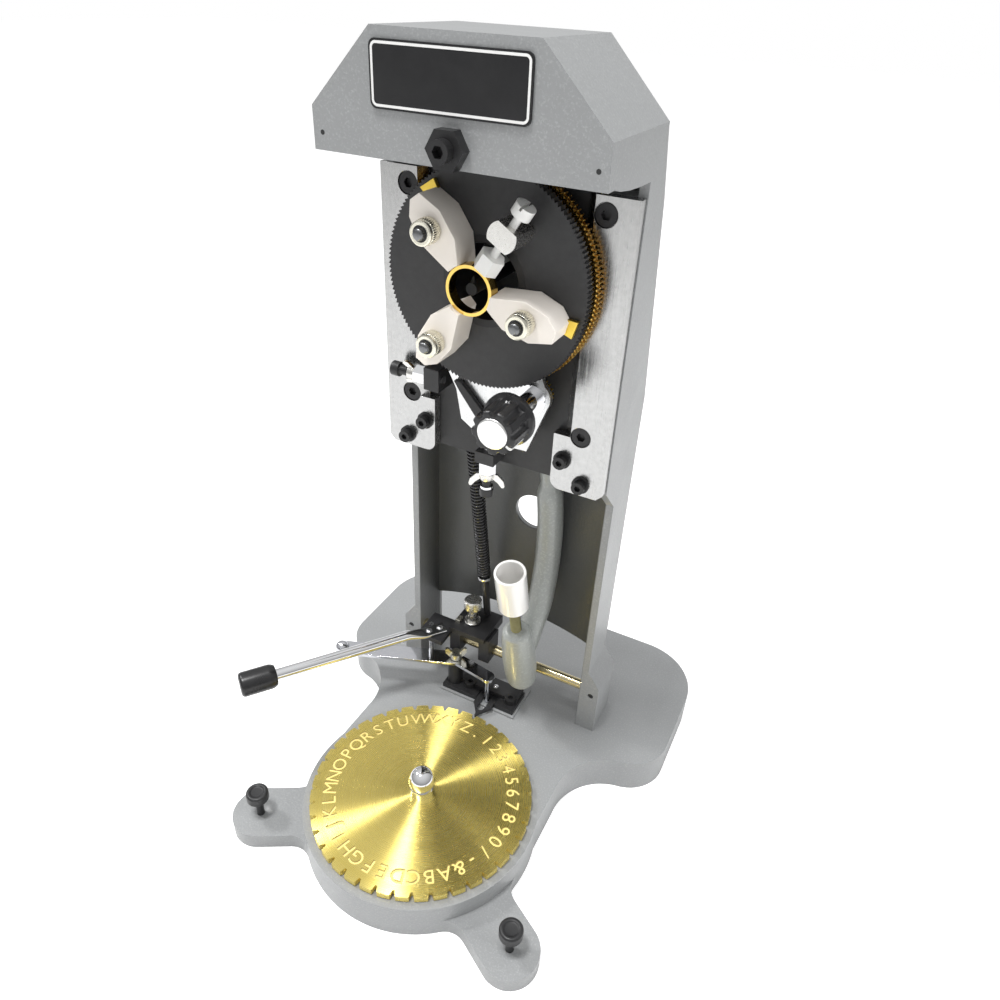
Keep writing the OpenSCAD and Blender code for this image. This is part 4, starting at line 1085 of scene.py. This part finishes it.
@dataclass
class Tracer:
    """Cross shaft, tracer block, handle and thumb screw."""

    root: Pair = (-29.5, 88.3)
    direction_deg: float = 233.3
    rod_r: float = 3.2
    length: float = 130.0
    grip_len: float = 20.0
    grip_r: float = 7.0
    grip_slip: float = 0.03
    face: Profile = ((TIP, -0.1), (5.2, -0.1), (5.2, 0.12), (TIP, 0.12))
    thumb: Pair = (-21.0, 93.5)
    thumb_rows: tuple[Vec, ...] = (
        (TIP, -6.0, 0), (2.0, -6.0, 0), (2.0, 0.4, 0), (4.7, 0.4, 0), (5.0, 0.6, 0), (5.0, 1.4, 0),
        (4.7, 1.6, 0), (3.4, 1.65, 0), (3.3, 6.6, 0), (2.2, 7.0, 0), (2.1, 10.9, 0), (4.6, 11.0, 0),
        (5.3, 11.5, 1), (5.4, 12.0, 1), (5.4, 16.6, 1), (5.2, 17.4, 0.4), (4.6, 17.9, 0),
        (TIP, 18.0, 0),
    )
    block_top: float = 66.0
    rivets: Pair = (11.0, 18.0)
    rivet: Profile = ((1.9, -0.1), (1.9, 0.25), (1.2, 0.75), (TIP, 0.85))
    rivet_sink: float = 0.8
    peg: Vec = (-28.4, 90.2, 65.7)
    peg_flat: Profile = ((-1.5, -2.4), (1.5, -2.4), (1.5, 2.4), (-1.5, 2.4))
    flat_sink: float = 1.9
    flat_half: Pair = (4.0, 1.1)
    flat_end: float = 20.0
    flat_blend: float = 13.0

    def build(self, shop: Workshop) -> None:
        """Dresses the tracer and adds handle, grip, thumb screw, rivets and peg."""
        shop.dress("yellow_zinc", "cross_shaft")
        shop.eased("tracer_block", "black_satin", 0.6)
        shop.dress("satin_steel", "tracer_stylus")
        shop.piece(
            "drawn_handle", self._rod(), "chrome", "tracer", ("handle_rod",), 50.0
        )
        bore, far, r = self.rod_r + self.grip_slip, self.grip_len, self.grip_r
        grip = (
            (bore, 6.0), (bore, 0.0), (5.6, 0.0), (r - 0.5, 1.6), (r, 3.4), (r, far - 1.2),
            (r - 0.9, far), (TIP, far),
        )
        along, z = self._way(), self._axis_z()
        skin = turned(rounded(grip, 1.0), self._spot(self.length - far, z), along, 56)
        shop.piece(
            "rounded_grip", skin, "black_plastic", "tracer", ("handle_grip",), 60.0
        )
        skin = turned(rounded(self.face, 0.1, 1), self._spot(self.length, z), along, 48)
        shop.piece("grip_face", skin, "grey_steel", "tracer")
        spot = (*self.thumb, self.block_top)
        skin = waved(self.thumb_rows, knurl(40, 0.22, 240), spot, np.eye(3))
        shop.piece(
            "knurled_thumb_screw", skin, "satin_nickel", "thumb", ("thumb_screw",), 28.0
        )
        for n, away in enumerate(self.rivets):
            spot = self._spot(away, self.block_top - self.rivet_sink)
            skin = turned(rounded(self.rivet, 0.3), spot, UP, 32)
            shop.piece(f"handle_rivet_{n + 1}", skin, "satin_steel", "tracer")
        skin = prism(np.array(self.peg_flat), 2.6, 0.3, self.peg, np.eye(3))
        shop.piece("block_peg", skin, "cream_nickel", "tracer")

    def _way(self) -> Vec:
        """Direction of the handle from its root to its grip."""
        turn = math.radians(self.direction_deg)
        return (math.cos(turn), math.sin(turn), 0.0)

    def _axis_z(self) -> float:
        """Height of the handle's middle line."""
        return self.block_top - 2.95 + self.rod_r

    def _spot(self, far: float, z: float) -> Vec:
        """Point at a distance along the handle, at a height."""
        c, s, _ = self._way()
        return (self.root[0] + far * c, self.root[1] + far * s, z)

    def _rod(self) -> Skin:
        """Drawn rod with a flattened root: a rounded oval whose corners and height change along it."""
        a = circle(48)
        c, s, _ = self._way()
        along, side = np.array([c, s, 0.0]), np.array([-s, c, 0.0])
        last = self.length - self.grip_len + 5.9
        stretches = ((8.0, 20.0, 7), (21.0, 34.0, 14), (40.0, last, 16))
        far = np.concatenate([np.linspace(*stretch) for stretch in stretches])
        blend = np.clip((far - self.flat_end) / self.flat_blend, 0.0, 1.0)
        blend = blend * blend * (3.0 - 2.0 * blend)
        half_w, half_h = (half + (self.rod_r - half) * blend for half in self.flat_half)
        low = self.block_top - self.flat_sink
        mid = low + (self._axis_z() - self.block_top + self.flat_sink) * blend
        power = (0.35 + 0.65 * blend)[:, None]
        across = half_w[:, None] * np.sign(np.cos(a)) * np.abs(np.cos(a)) ** power
        up = mid[:, None] + half_h[:, None] * np.sign(np.sin(a)) * np.abs(np.sin(a)) ** power
        base = np.array([*self.root, 0.0]) + far[:, None] * along
        return shell(base[:, None] + across[..., None] * side + up[..., None] * np.array(UP))


@dataclass
class CounterArm:
    """Counterweight arm with its threaded stud, weight cup and cutter bar."""

    bulb_foot: Vec = (20.0, 81.6, 45.4)
    lean_deg: float = 15.0
    bulb_len: float = 56.5
    bulb_end: float = 9.0
    shoulder: float = 3.2
    stud_span: Pair = (50.0, 81.7)
    stud_r: float = 2.78
    thread: float = 0.22
    pitch: float = 1.0
    shaft: Pair = (93.0, 50.0)
    hub: Profile = ((3.05, 8.0), (7.6, 8.0), (8.0, 8.4), (8.0, 19.6), (7.6, 20.0), (3.05, 20.0))
    tie: Profile = ((TIP, 0.0), (6.0, 0.0), (6.0, 9.0), (TIP, 9.0))
    tie_at: Vec = (15.0, 79.0, 55.0)
    tie_way: Vec = (0.0, 13.0, -3.0)
    top_bar: Profile = ((TIP, -5.5), (4.8, -5.5), (4.8, 24.4), (TIP, 24.4))
    path: tuple[Vec, ...] = (
        (20.0, 78.0, 68.0), (21.0, 86.4, 86.0), (22.0, 93.4, 101.0), (22.0, 98.0, 118.0),
        (22.0, 99.4, 134.0), (22.0, 98.4, 152.0), (21.4, 94.4, 178.0), (20.0, 88.0, 222.0),
        (20.0, 86.4, 293.0),
    )
    leg_heights: tuple[float, ...] = (68.0, 86.0, 100.0, 150.0, 176.0, 181.0, 300.0)
    leg_radii: tuple[float, ...] = (6.5, 6.9, 7.1, 7.1, 6.9, 4.8, 4.8)

    def build(self, shop: Workshop) -> None:
        """Replaces arm and stud by smooth ones and dresses cup and cutter bar."""
        shop.piece(
            "smooth_arm", self._arm(), "cast_arm_grey", "arm", ("counter_arm",), 50.0
        )
        shop.eased("weight_cup", "cup_white", 0.5, 3)
        # Painted shade: the cutter bar is near black so it reads as the shadowed inside of the ring.
        shop.dress("painted_shade_black", "cutter_bar")
        h = np.arange(self.stud_span[0], self.stud_span[1] + 1e-6, self.pitch / 4.0)
        r = self.stud_r + self.thread * np.cos(2.0 * math.pi * h / self.pitch)
        profile = np.concatenate([[[TIP, h[0]]], np.stack([r, h], -1), [[TIP, h[-1]]]])
        skin = turned(profile, self.bulb_foot, self._up(), 40)
        shop.piece("threaded_stud", skin, "olive_zinc", "arm", ("cup_stud",), 60.0)

    def _up(self) -> Vec:
        """Direction of the leaning bulb."""
        lean = math.radians(self.lean_deg)
        return (0.0, -math.sin(lean), math.cos(lean))

    def _arm(self) -> Skin:
        """Arm of five closed skins: bulb, leg, hub ring on the shaft, its tie and the top bar."""
        y, z = self.shaft
        _, top_y, top_z = self.path[-1]
        return joined([
            turned(self._bulb(), self.bulb_foot, self._up(), 56),
            self._leg(),
            bored(self.hub, (0.0, y, z), axes_of(RIGHT, BACK), 48),
            turned(self.tie, self.tie_at, self.tie_way, 40),
            turned(rounded(self.top_bar, 0.8), (0.0, top_y, top_z), RIGHT, 48),
        ])

    def _bulb(self) -> np.ndarray:
        """Profile of the bulb: a round end, a side that is an arc of a wide circle, a soft shoulder."""
        end, edge = self.bulb_end, self.shoulder
        low = end - end * np.cos(np.linspace(0.0, 0.5 * math.pi, 14))
        h = np.concatenate([low, np.linspace(11.0, self.bulb_len - edge, 26)])
        round_end = np.sqrt(np.clip(end**2 - (h - end) ** 2, 0.0, None))
        swell = np.sqrt(206.0**2 - (h - 26.24) ** 2) - 196.3
        r = np.maximum(np.where(h < end, round_end, swell), TIP)
        turn = np.radians(np.arange(15.0, 91.0, 15.0))
        top_r, top_h = r[-1] - edge * (1.0 - np.cos(turn)), h[-1] + edge * np.sin(turn)
        return np.concatenate([np.stack([r, h], -1), np.stack([top_r, top_h], -1), [[TIP, self.bulb_len]]])

    def _leg(self) -> Skin:
        """Leg as a tube along a smooth curve through the path's points, narrower above the cup."""
        p = np.asarray(self.path)
        ends = np.concatenate([2.0 * p[:1] - p[1:2], p, 2.0 * p[-1:] - p[-2:-1]])
        t = np.linspace(0.0, 1.0, 10, endpoint=False)[None, :, None]
        a, b, c, d = (ends[k : k + len(p) - 1, None] for k in range(4))
        square, cube = 2.0 * a - 5.0 * b + 4.0 * c - d, 3.0 * b - a - 3.0 * c + d
        line = 0.5 * (2.0 * b + (c - a) * t + square * t**2 + cube * t**3)
        line = np.concatenate([line.reshape(-1, 3), p[-1:]])
        ahead = np.gradient(line, axis=0)
        ahead /= np.linalg.norm(ahead, axis=1)[:, None]
        side = np.cross(ahead, np.array(BACK))
        side /= np.linalg.norm(side, axis=1)[:, None]
        radius = np.interp(line[:, 2], self.leg_heights, self.leg_radii)
        return tube(line, side, np.cross(side, ahead), radius, 40)


@dataclass
class IndexGear:
    """Index lever, finger, bracket and their screws."""

    bright_screws: tuple[Vec, ...] = ((2.0, 84.0, 29.3), (-4.0, 87.0, 29.3))
    head: Profile = ((1.6, -0.2), (1.6, 0.5), (1.0, 0.95), (TIP, 1.0))

    def build(self, shop: Workshop) -> None:
        """Dresses the index parts and adds the two small bright screws."""
        shop.eased("index_lever", "lever_chrome", 0.35)
        shop.eased("lever_screw", "cream_nickel", 0.25)
        shop.eased("index_finger", "black_satin", 0.25)
        shop.eased("index_bracket", "black_satin", 0.5)
        shop.dress("black_steel", "bracket_screws")
        for n, spot in enumerate(self.bright_screws):
            skin = turned(rounded(self.head, 0.3), spot, UP, 32)
            shop.piece(f"bracket_stud_{n + 1}", skin, "chrome", "stand")


@dataclass
class LetterDial:
    """Brass dial with its engraved characters and polished ball."""

    radius: float = 49.4
    top: float = 26.1
    height: float = 8.4
    font_share: float = 1.25
    first_deg: float = -45.0
    step_deg: float = 9.0
    characters: str = "ABCDEFGHIJKLMNOPQRSTUVWXYZ.1234567890/-&"

    def build(self, shop: Workshop) -> None:
        """Dresses the dial and sets its characters round it, over a painted shadow: a dark copy of them
        shifted to one side.
        """
        shop.dress("dial_brass", "letter_dial")
        shop.dress("chrome", "dial_knob")
        shop.dress("satin_steel", "dial_spindle")
        # Painted shadow: a dark copy of the characters, shifted to one side and lower than the fill.
        self._set(shop, "character_painted_shadows", "painted_shadow_edge", (-0.52, 0.44), 0.02)
        self._set(shop, "dial_characters", "engraved_fill", (0.0, 0.0), 0.05)

    def _set(self, shop: Workshop, name: str, finish: str, shift: Pair, rise: float) -> None:
        """Sets all characters round the dial as one mesh.

        Args:
            shop: the workshop.
            name: the piece's name.
            finish: its finish.
            shift: move in X and Y in millimetres.
            rise: height over the dial in millimetres.
        """
        mesh = bpy.data.meshes.new(name)
        gathered = bmesh.new()
        middle = Matrix.Translation((shift[0] * MM, shift[1] * MM, self.top * MM))
        out = Matrix.Translation((0.0, self.radius * MM, 0.0))
        for n, character in enumerate(self.characters):
            angle = math.radians(self.first_deg - n * self.step_deg - 90.0)
            flat = self._flat(character, rise)
            flat.transform(middle @ Matrix.Rotation(angle, 4, "Z") @ out)
            gathered.from_mesh(flat)
            bpy.data.meshes.remove(flat)
        gathered.to_mesh(mesh)
        gathered.free()
        shop.place(name, mesh, finish, "dial", (), 30.0)

    def _flat(self, character: str, rise: float) -> bpy.types.Mesh:
        """Mesh of one character, its top towards Y.

        Args:
            character: the letter, number or sign.
            rise: half its thickness in millimetres.
        Returns:
            The mesh, in metres round the origin.
        """
        curve = bpy.data.curves.new("character", "FONT")
        curve.body = character
        curve.size = self.height * self.font_share * MM
        curve.align_x = "CENTER"
        curve.align_y = "CENTER"
        curve.extrude = rise * MM
        curve.resolution_u = 3
        holder = bpy.data.objects.new("character", curve)
        bpy.context.scene.collection.objects.link(holder)
        bpy.context.view_layer.update()
        ready = holder.evaluated_get(bpy.context.evaluated_depsgraph_get())
        flat = bpy.data.meshes.new_from_object(ready)
        bpy.data.objects.remove(holder)
        return flat


@dataclass
class EarScrews:
    """Two black screws with dished heads on the base's ears."""

    spots: tuple[tuple[str, Vec], ...] = (
        ("left", (-76.557, -44.2, 10.0)),
        ("right", (76.557, -44.2, 10.0)),
    )
    screw: Profile = (
        (TIP, -6.0), (2.0, -6.0), (2.0, 11.4), (4.9, 11.4), (5.9, 12.2), (5.9, 16.8), (5.1, 17.6),
        (3.9, 17.6), (3.3, 17.0), (TIP, 17.0),
    )

    def build(self, shop: Workshop) -> None:
        """Replaces each screw by a turned one with a soft rim."""
        for side, spot in self.spots:
            skin = turned(rounded(self.screw, 0.5), spot, UP, 48)
            shop.piece(
                f"dished_screw_{side}", skin, "black_satin", f"ear_{side}",
                (f"ear_screw_{side}",), 35.0,
            )


# ---------------------------------------------------------------- studio


def stand(name: str, data: bpy.types.ID, axes: np.ndarray, at: Vec) -> bpy.types.Object:
    """Puts a camera or lamp in the scene.

    Args:
        name: the object's name.
        data: the camera or light.
        axes: its three axes as rows; it looks against the third.
        at: its place in metres.
    Returns:
        The object.
    """
    thing = bpy.data.objects.new(name, data)
    bpy.context.scene.collection.objects.link(thing)
    matrix = np.eye(4)
    matrix[:3, :3] = np.asarray(axes).T
    matrix[:3, 3] = at
    thing.matrix_world = Matrix(matrix.tolist())
    return thing


@dataclass(frozen=True)
class Lamp:
    """Square soft lamp: place, aim and side in metres, power in watts, and whether metal mirrors it."""

    name: str
    at: Vec
    aim: Vec
    size: float
    power: float
    mirrored: bool

    def build(self) -> None:
        """Adds the lamp."""
        data = bpy.data.lights.new(self.name, "AREA")
        data.size = self.size
        data.energy = self.power
        axes = axes_of(tuple(np.asarray(self.at) - np.asarray(self.aim)))
        stand(self.name, data, axes, self.at).visible_glossy = self.mirrored


@dataclass
class Studio:
    """Pale floor, soft light and the camera at the photograph's place."""

    camera_at: Vec = (145.57, -225.47, 396.21)
    yaw: float = -0.445
    pitch_deg: float = 33.65
    roll_deg: float = -2.97
    lens: float = 28.13
    floor_half: float = 6.0
    floor_glow: float = 0.46
    sky_rise: float = 0.55
    sky_least: float = 0.28
    lamps: tuple[Lamp, ...] = (
        Lamp("key_above", (-0.20, -0.30, 1.60), (0.0, 0.0, 0.03), 0.24, 17.0, True),
        Lamp("fill_left", (-1.07, 0.0, 1.24), (0.0, 0.0, 0.03), 0.22, 9.0, True),
        Lamp("fill_front", (0.35, -1.25, 0.75), (0.0, 0.03, 0.2), 0.9, 3.0, False),
        Lamp("fill_right", (1.35, 0.1, 1.0), (0.0, 0.08, 0.2), 0.8, 9.0, False),
    )

    def build(self) -> None:
        """Makes camera, floor, world and lamps."""
        self._camera()
        self._floor()
        self._world()
        for lamp in self.lamps:
            lamp.build()
        bpy.context.scene.view_settings.view_transform = "Standard"

    def _camera(self) -> None:
        """Places the camera by yaw, pitch and roll."""
        p, roll = math.radians(self.pitch_deg), math.radians(self.roll_deg)
        sin_yaw, cos_yaw = math.sin(self.yaw), math.cos(self.yaw)
        ahead = np.array([sin_yaw * math.cos(p), cos_yaw * math.cos(p), -math.sin(p)])
        right = np.array([cos_yaw, -sin_yaw, 0.0])
        down = np.cross(ahead, right)
        c, s = math.cos(roll), math.sin(roll)
        data = bpy.data.cameras.new("camera")
        data.lens = self.lens
        data.sensor_width = 36.0
        data.clip_start, data.clip_end = 0.01, 50.0
        axes = np.stack([c * right + s * down, s * right - c * down, -ahead])
        bpy.context.scene.camera = stand("camera", data, axes, np.asarray(self.camera_at) * MM)

    def _floor(self) -> None:
        """Pale floor that shows white to the camera and keeps the object's shadow."""
        h = self.floor_half
        mesh = bpy.data.meshes.new("floor")
        corners = [(-h, -h, 0.0), (h, -h, 0.0), (h, h, 0.0), (-h, h, 0.0)]
        mesh.from_pydata(corners, [], [(0, 1, 2, 3)])
        floor = bpy.data.objects.new("floor", mesh)
        bpy.context.scene.collection.objects.link(floor)
        material, t, s = open_material(
            "pale_floor", Base__Color=(0.86, 0.86, 0.86), Roughness=0.7, Emission__Color=(1.0, 1.0, 1.0)
        )
        seen = t.add("ShaderNodeLightPath").outputs["Is Camera Ray"]
        t.feed(t.times(seen, self.floor_glow), s.inputs["Emission Strength"])
        mesh.materials.append(material)

    def _world(self) -> None:
        """Surroundings that are white to the camera and light the part by a sky brighter upwards."""
        world = bpy.data.worlds.new("studio")
        bpy.context.scene.world = world
        world.use_nodes = True
        world.node_tree.nodes.clear()
        t = NodeTree(world.node_tree)
        path = t.add("ShaderNodeLightPath").outputs
        seen = t.math("MAXIMUM", path["Is Camera Ray"], path["Is Transmission Ray"])
        way = t.add("ShaderNodeTexCoord").outputs["Generated"]
        height = t.add("ShaderNodeSeparateXYZ", Vector=way).outputs["Z"]
        sky = t.plus(t.times(height, self.sky_rise, clamp=True), self.sky_least)
        strength = t.math("MAXIMUM", seen, sky)
        back = t.add("ShaderNodeBackground", Color=(1.0, 1.0, 1.0), Strength=strength)
        t.add("ShaderNodeOutputWorld", Surface=back.outputs[0])


ASSEMBLIES = (
    Castings, FacePlates, Link, Chuck, KnobDrive, Tracer, CounterArm, IndexGear, LetterDial, EarScrews,
)


def main() -> None:
    """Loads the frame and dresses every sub-assembly in order."""
    logging.basicConfig(level=logging.INFO, format="%(name)s: %(message)s")
    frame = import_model()
    Studio().build()
    shop = Workshop(frame)
    for assembly in ASSEMBLIES:
        assembly().build(shop)
        LOG.info("%s done", assembly.__name__)


if __name__ == "__main__":
    main()
